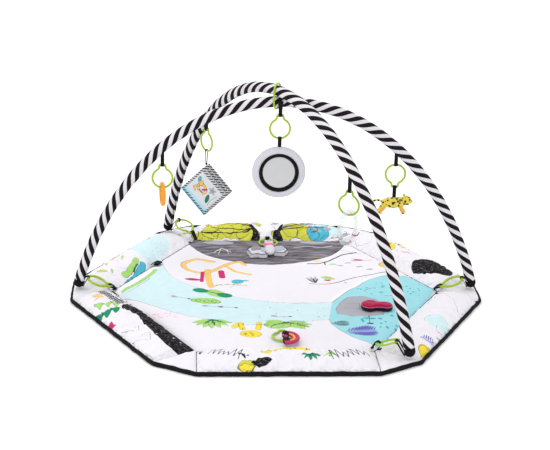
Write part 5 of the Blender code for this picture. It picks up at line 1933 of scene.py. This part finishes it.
def merge_rim(piece: bpy.types.Object) -> None:
    """Close a folded sheet along its rim: join the first row to the last and fill the two ends."""
    shape = bmesh.new()
    shape.from_mesh(piece.data)
    bmesh.ops.remove_doubles(shape, verts=shape.verts, dist=1e-6)
    border = [edge for edge in shape.edges if edge.is_boundary]
    bmesh.ops.holes_fill(shape, edges=border, sides=0)
    bmesh.ops.recalc_face_normals(shape, faces=shape.faces)
    shape.to_mesh(piece.data)
    shape.free()


@dataclass(frozen=True)
class Leopard:
    """A plush spotted cat that hangs by its back: body, head with ears, four legs and a banded tail."""

    hang: Hanging
    drop: float = 0.029

    def build(self) -> None:
        """The strap, the plush, its face and its tail."""
        self.hang.strap("leopard_strap", self.hang.toy, -self.drop - 0.003, "leopard_hanger", "leopard")
        origin = self.hang.toy + (-0.004, 0, -self.drop - 0.0150)
        balls = [
            ((0.000, 0, 0.0000), (0.0310, 0.0135, 0.0150)), ((0.020, 0, 0.0010), (0.0160, 0.0130, 0.0150)),
            ((0.038, 0, 0.0055), (0.0140, 0.0122, 0.0130)), ((0.048, 0, 0.0030), (0.0055, 0.0070, 0.0052)),
            ((0.032, -0.0085, 0.0185), (0.0040, 0.0030, 0.0048)), ((0.032, 0.0085, 0.0185), (0.0040, 0.0030,
            0.0048))]
        parts = [grid_object("plush_part", ellipsoid_grid(c, s), wrap=True) for c, s in balls]
        for reach, lean in ((0.024, -25), (-0.026, 40)):
            for side in (-0.0078, 0.0078):
                limb = turned(ellipsoid_grid((0, 0, 0), (0.0060, 0.0054, 0.0155)), lean, "Y")
                paw = ellipsoid_grid((0.0015, 0, -0.0125), (0.0068, 0.0056, 0.0045))
                spot = (reach, side, -0.0145)
                parts.append(grid_object("plush_part", limb + spot, wrap=True))
                parts.append(grid_object("plush_part", turned(paw, lean, "Y") + spot, wrap=True))
        for part in parts:
            set_points(part, points_of(part) + origin)
        body = melt("leopard_plush_body", parts, 0.0011, 8)
        plush = spotted("spotted_plush", linear(0.95, 0.86, 0.33), linear(0.13, 0.11, 0.10), 125, 0.42)
        dress(body, plush, "leopard", "leopard_cloth", "leopard_plush", fill=0.85)
        tail = smooth_path(
            [(-0.026, 0, 0.002), (-0.034, 0, 0.0055), (-0.042, 0, 0.0068), (-0.050, 0, 0.0050), (-0.0555, 0,
            0.0030)], 30) + origin
        bands = Stripes(
            "tail_bands", linear(0.13, 0.11, 0.10), linear(0.95, 0.86, 0.36), 0.0105, 0.0).material()
        dress(tube_object("leopard_tail", tail, Y_AXIS, 0.0026, 14), bands, "leopard", "leopard_cloth")
        for side in (-1, 1):
            eye = ellipsoid_grid(origin + (0.0462, side * 0.0062, 0.0102), (0.0016, 0.0016, 0.0018), 12)
            dress(
                grid_object(f"leopard_eye_{'left' if side < 0 else 'right'}", eye, wrap=True), BLACK_BEAD,
                "leopard", "leopard_cloth")
        nose = ellipsoid_grid(origin + (0.0530, 0, 0.0048), (0.0018, 0.0028, 0.0017), 12)
        dress(grid_object("leopard_nose", nose, wrap=True), BLACK_BEAD, "leopard", "leopard_cloth")
        self.saddle(origin)

    def saddle(self, origin: Array) -> None:
        """Tan plush patches sewn on the hind and front legs."""
        tan = Cloth("tan_plush", linear(0.93, 0.66, 0.34), crease=0.0010, fuzz=0.3).material()
        for name, reach, lean in (("hind", -0.0265, 40), ("front", 0.0245, -25)):
            spot = (reach, -0.0083, -0.0150)
            patch = turned(
                ellipsoid_grid((0, -0.0006, 0), (0.0052, 0.0053, 0.0140)), lean, "Y") + spot + origin
            piece = grid_object(f"leopard_{name}_patch", patch, wrap=True)
            dress(piece, tan, "leopard", "leopard_cloth", fill=0.8)


@dataclass(frozen=True)
class MatToys:
    """The toys on the mat: a winged plush at the back, a fruit-slice teether in front and a satin pillow."""

    mat_top: float = 0.018

    def wing(
            self, name: str, outline: Sequence[tuple[float, float]], height: float,
            material: bpy.types.Material, centre: Array, base: float = 0.0008) -> None:
        """A small stuffed patch: its outline shrinks towards a dome by a superellipse of the height."""
        rim = smooth_path(outline, 96, closed=True)
        middle = rim.mean(0)
        share = np.concatenate([np.linspace(0.02, 0.8, 14), [0.88, 0.94, 0.98, 1.0]])
        rise = (1 - share**4) ** 0.5
        spread = middle + share[:, None, None] * (rim - middle)
        top = np.concatenate([spread, (base + height * rise)[:, None, None] + 0 * spread[..., :1]], 2)
        top[..., 2] += rise[:, None] * 0.0006 * ripple(spread[..., 0], spread[..., 1], 0.016, 50)
        under = top[::-1] * (1, 1, 0) + (0, 0, base * 0.5)
        grid = np.concatenate([top, under]) + centre
        piece = grid_object(name, grid, wrap=True)
        dress(piece, material, "mat", "plush_cloth", fill=0.6)

    def plush(self) -> None:
        """The winged plush: a pale body, a head and two patchwork wings, joined to a ring."""
        centre = np.array([-0.004, 0.255, self.mat_top + 0.0003])
        white = Cloth("white_plush", linear(0.83, 0.82, 0.85), crease=0.0012, fuzz=0.4).material()
        grey = Cloth("grey_patch", linear(0.56, 0.55, 0.58), crease=0.0006).material()
        blue = Cloth("blue_grey_patch", linear(0.66, 0.69, 0.76), crease=0.0006).material()
        pink = Cloth("pink_plush", linear(0.93, 0.45, 0.58), crease=0.0008, fuzz=0.3).material()
        body = [
            grid_object("plush_part", ellipsoid_grid(centre + c, s), wrap=True) for c, s in (((0, 0,
            0.0125), (0.0155, 0.032, 0.0120)), ((0, 0.036, 0.0125), (0.0150, 0.0135, 0.0115)), ((-0.009,
            0.046, 0.019), (0.0045, 0.0035, 0.0050)), ((0.009, 0.046, 0.019), (0.0045, 0.0035, 0.0050)))]
        piece = melt("plush_soft_body", body, 0.0012)
        dress(piece, white, "mat", "plush_cloth", "plush_toy", fill=0.8)
        left = mm(-8, -28, -8, 20, -30, 31, -54, 28, -66, 6, -60, -16, -56, -34, -36, -30, -24, -37)
        right = mm(8, 28, 10, -12, 22, -20, 40, -22, 46, -10, 53, 6, 44, 20, 38, 33, 22, 26)
        for side, outline in (("left", left), ("right", right)):
            self.wing(f"plush_{side}_wing", outline, 0.0135, white, centre, base=0.0015)
            rim = smooth_path(outline, 90, closed=True)
            rim = np.column_stack([rim.mean(0) + 0.93 * (rim - rim.mean(0)), np.full(90, 0.0118)]) + centre
            pipe = tube_object(f"plush_{side}_piping", rim, Z_AXIS, 0.0009, 6, closed=True)
            dress(pipe, THREAD, "mat", "plush_cloth")
        for name, outline, material in (
                ("dark_patch", mm(-52, 18, -28, 22, -26, -4, -50, -12), grey), ("blue_patch", mm(-22, 6, -6,
                8, -8, -20, -26, -18), blue), ("right_patch", mm(14, 20, 38, 24, 42, -4, 18, -10), blue)):
            self.wing(f"plush_{name}", outline, 0.0030, material, centre + (0, 0, 0.0135))
        self.wing(
            "plush_collar", mm(-16, 26, 10, 28, 12, 18, -14, 14), 0.0040, pink, centre + (0, 0, 0.0200))
        Ring("plush_green_ring", "plush_ring", "mat", (-0.004, 0.372, 0.0226), 180, 90).build()
        loop = smooth_path(
            [(-0.004, 0.3785, 0.0150), (-0.004, 0.3775, 0.0205), (-0.004, 0.3740, 0.0268), (-0.004, 0.3690,
            0.0262), (-0.004, 0.3680, 0.0200), (-0.004, 0.3730, 0.0185)], 40)
        dress(band_object("plush_tab", loop, X_AXIS, 0.013, FINE_TAPE), WEBBING, "mat", "webbing")
        lower = smooth_path(
            [(-0.004, 0.2900, 0.0300), (-0.004, 0.3060, 0.0270), (-0.004, 0.3130, 0.0240), (-0.004, 0.3100,
            0.0195), (-0.004, 0.3000, 0.0200)], 40)
        dress(band_object("plush_strap", lower, X_AXIS, 0.010, 0.0012), WEBBING, "mat", "webbing")

    def melon(self) -> None:
        """The fruit-slice teether: a bow of rind, a yellow band and red flesh, in two tape loops."""
        low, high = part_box("melon_teether")
        height = (low.z + high.z) / 2
        bar_x, middle, reach = 0.002, -0.350, 0.030
        bow = arc(1.0, 90, -90, 60)
        rubber = {
            "rind": Plastic("magenta_rubber", linear(0.80, 0.10, 0.40), 0.45, 0.05, 0.2).material(),
            "band": Plastic("yellow_rubber", linear(0.95, 0.82, 0.25), 0.45, 0.05, 0.2).material(),
            "flesh": Plastic("red_rubber", linear(0.84, 0.16, 0.25), 0.45, 0.05, 0.2).material()}
        up = Z_AXIS
        edge = np.stack([np.full(30, bar_x), middle + reach * np.linspace(-1, 1, 30), np.full(30, height)], 1)
        outer = np.concatenate([bow * reach + (bar_x, middle), [(bar_x, middle - reach)]])
        outer = np.column_stack([outer, np.full(len(outer), height)])
        loop = even_path(np.concatenate([outer[:-1], edge, outer[:1]]), 0.0018)[:-1]
        rind = tube_object("melon_rind", loop, up, 0.0049, 18, closed=True)
        dress(rind, rubber["rind"], "melon", "melon_rubber", "melon_teether")
        for name, share, wire in (("band", 0.72, 0.0030), ("flesh", 0.54, 0.0028)):
            inner = bow * reach * share * (0.9, 1) + (bar_x + 0.0020, middle)
            path = np.column_stack([inner, np.full(len(inner), height)])
            dress(tube_object(f"melon_{name}", path, up, wire, 14), rubber[name], "melon", "melon_rubber")
        for node, offset in (("front_loop_inner", 0.018), ("front_loop_outer", -0.018)):
            oval = np.concatenate([arc(1, 0, 180, 16), arc(1, 180, 360, 16)]) * (0.0084, 0.0078)
            path = np.stack([bar_x + oval[:, 0], np.full(len(oval), middle + offset), height + oval[:, 1]], 1)
            path = even_path(np.concatenate([path, path[:1]]), 0.0012)[:-1]
            band = band_object(
                node.replace("front_loop", "front_tape_loop"), path, Y_AXIS, 0.0150, FINE_TAPE, closed=True)
            dress(band, WEBBING, "mat", "webbing", node)
        Ring("front_green_ring", "front_ring", "mat", (-0.004, -0.288, 0.02105), 180, 90).build()

    def pillow(self) -> None:
        """The peanut pillow: a black satin side and a magenta top with a pale sheen at its edge, painted as a
        lighter rose tube round the seam.
        """
        centre = np.array([0.258, -0.145, self.mat_top + 0.0003])
        lobes = np.concatenate(
            [arc(0.0222, 42, 318, 20, (-0.020, 0)), arc(0.0162, -126, 126, 16, (0.0245, 0))])
        rim = smooth_path(even_path(lobes, 0.006), 120, closed=True)
        rim = turned(np.column_stack([rim, 0 * rim[:, 0]]), -8)[:, :2]
        middle = rim.mean(0)
        black = Cloth(
            "black_satin", linear(0.11, 0.10, 0.12), crease=0.0008, rough=0.45, fuzz=0.05).material()
        magenta = Cloth(
            "magenta_satin", linear(0.66, 0.07, 0.28), crease=0.0010, rough=0.42, fuzz=0.05).material()
        share = np.array([0.02, 0.5, 0.9, 0.97, 1.0, 1.02, 1.02, 1.0, 0.97, 0.9, 0.5, 0.02])
        level = np.array(
            [0.0, 0.0, 0.0, 0.0008, 0.0030, 0.0055, 0.0080, 0.0100, 0.0108, 0.0110, 0.0110, 0.0110])
        side = middle + share[:, None, None] * (rim - middle)
        pleats = 1 + 0.012 * np.sin(
            np.arange(120) * 2 * np.pi / 6)[None, :, None] * (share > 0.95)[:, None, None]
        side = middle + (side - middle) * pleats
        grid = np.concatenate([side, level[:, None, None] + 0 * side[..., :1]], 2) + centre
        piece = grid_object("pillow_satin_side", grid, wrap=True)
        dress(piece, black, "mat", "pillow_side_cloth", "pillow_side", fill=0.8)
        share = np.concatenate([[0.02, 0.3, 0.55, 0.9], [0.99], np.linspace(0.985, 0.02, 18)])
        level = np.concatenate(
            [[0.0113] * 4, [0.0120], 0.0120 + 0.0066 * (1 - np.linspace(0.985, 0.02, 18) ** 5) ** 0.6])
        top = middle + share[:, None, None] * (rim - middle)
        crease = 0.0004 * ripple(
            top[..., 0], top[..., 1], 0.02, 71)[..., None] * (level > 0.013)[:, None, None]
        grid = np.concatenate([top, level[:, None, None] + crease], 2) + centre
        piece = grid_object("pillow_satin_top", grid, wrap=True)
        dress(piece, magenta, "mat", "pillow_top_cloth", "pillow_top", fill=0.8)
        # Painted highlight: a thin, lighter rose tube round the top's edge stands in for the satin's sheen
        # there.
        seam = np.column_stack([middle + 1.0 * (rim - middle), np.full(len(rim), 0.0112)]) + centre
        pipe = tube_object("pillow_piping", seam, Z_AXIS, 0.0008, 8, closed=True)
        dress(pipe, Cloth("rose_piping", linear(0.90, 0.45, 0.60)).material(), "mat", "pillow_top_cloth")

    def build(self) -> None:
        """All of the toys on the mat."""
        self.plush()
        self.melon()
        self.pillow()


# --- the studio -------------------------------------------------------------------------------------
@dataclass(frozen=True)
class Studio:
    """A white studio: a pale floor, a large soft light above and one at each side, and the camera."""

    eye: tuple[float, float, float] = (-0.2618, -3.5796, 1.5128)
    heading: float = 4.045         # towards +X from +Y, in degrees
    dip: float = 20.084            # below the horizon
    roll: float = 1.606
    lens: float = 93.07

    def camera(self) -> None:
        """The camera: its axes are worked out from heading, dip and roll."""
        heading, dip, roll = (math.radians(a) for a in (self.heading, self.dip, self.roll))
        ahead = Vector((math.sin(heading) * math.cos(dip), math.cos(heading) * math.cos(dip), -math.sin(dip)))
        right = ahead.cross(Vector((0, 0, 1))).normalized()
        above = right.cross(ahead)
        side = right * math.cos(roll) + above * math.sin(roll)
        top = above * math.cos(roll) - right * math.sin(roll)
        data = bpy.data.cameras.new("camera")
        data.lens = self.lens
        data.sensor_width = 36
        data.clip_start, data.clip_end = 0.05, 60
        camera = bpy.data.objects.new("camera", data)
        axes = Matrix((side, top, -ahead)).transposed().to_4x4()
        camera.matrix_world = Matrix.Translation(self.eye) @ axes
        bpy.context.scene.collection.objects.link(camera)
        bpy.context.scene.camera = camera

    def light(self, name: str, spot: Sequence[float], size: float, power: float) -> None:
        """A square area light that points at the middle of the gym."""
        data = bpy.data.lights.new(name, "AREA")
        data.size = size
        data.energy = power
        lamp = bpy.data.objects.new(name, data)
        lamp.location = spot
        lamp.rotation_euler = (Vector((0, 0, 0.15)) - Vector(spot)).to_track_quat("-Z", "Y").to_euler()
        bpy.context.scene.collection.objects.link(lamp)

    def build(self) -> None:
        """The camera, the lights, the sky and the floor."""
        self.camera()
        self.light("overhead", (-0.4, 0.9, 3.0), 2.4, 30)
        self.light("left", (-2.6, -1.6, 1.8), 1.8, 9)
        self.light("front", (1.2, -3.2, 2.0), 1.6, 5)
        world = bpy.data.worlds.new("studio")
        world.use_nodes = True
        world.node_tree.nodes["Background"].inputs[0].default_value = (1, 1, 1, 1)
        world.node_tree.nodes["Background"].inputs[1].default_value = 0.90
        bpy.context.scene.world = world
        bpy.context.scene.view_settings.view_transform = "Standard"
        spots = np.array([(-9.0, -9.0, 0), (9.0, -9.0, 0), (9.0, 14.0, 0), (-9.0, 14.0, 0)])
        mesh = bpy.data.meshes.new("floor")
        mesh.from_pydata(spots.tolist(), [], [[0, 1, 2, 3]])
        floor = bpy.data.objects.new("floor", mesh)
        bpy.context.scene.collection.objects.link(floor)
        recipe = Recipe("studio_floor")
        floor.data.materials.append(
            recipe.finish(Base_Color=(0.96, 0.96, 0.96), Roughness=0.9, Emission_Color=(1, 1, 1),
            Emission_Strength=0.15))


WEBBING = Webbing().material()
THREAD = Cloth("stitching", linear(0.16, 0.15, 0.17), thread=0.0003).material()
FOOT_CLOTH = Cloth("black_foot_cloth", linear(0.07, 0.06, 0.08), crease=0.0008).material()
GREEN_PLASTIC = Plastic("green_plastic", linear(0.66, 0.80, 0.10)).material()
RED_BEAD = Plastic("red_bead", linear(0.80, 0.12, 0.16), rough=0.2, coat=0.6).material()
TEAL_BEAD = Plastic("teal_bead", linear(0.25, 0.62, 0.66), rough=0.2, coat=0.6).material()
BLACK_BEAD = Plastic("black_bead", linear(0.09, 0.085, 0.09), rough=0.2, coat=0.6).material()
GREY_BEAD = Plastic("grey_bead", linear(0.55, 0.57, 0.58), rough=0.25, coat=0.4).material()


def main() -> None:
    """Build the gym round its frame."""
    logging.basicConfig(level=logging.INFO, format="%(name)s: %(message)s")
    Studio().build()
    Mat().build()
    ARCH_1.build()
    ARCH_2.build()
    hangings = {
        spot.name: spot for spot in (Hanging("teether", ARCH_1, -0.310, 0.3705, 0.0), Hanging("mirror",
        ARCH_1, -0.0045, 0.5140, 0.0, 0.0165), Hanging("leopard", ARCH_1, 0.308, 0.3755, 0.0),
        Hanging("book", ARCH_2, -0.322, 0.3905, -55.0), Hanging("rattle", ARCH_2, 0.298, 0.3840, -25.0))}
    for spot in hangings.values():
        spot.build()
    crossing_ring()
    corner_rings()
    Teether(hangings["teether"]).build()
    Mirror(hangings["mirror"]).build()
    Rattle(hangings["rattle"]).build()
    Book(hangings["book"]).build()
    Leopard(hangings["leopard"]).build()
    MatToys().build()


if __name__ == "__main__":
    main()
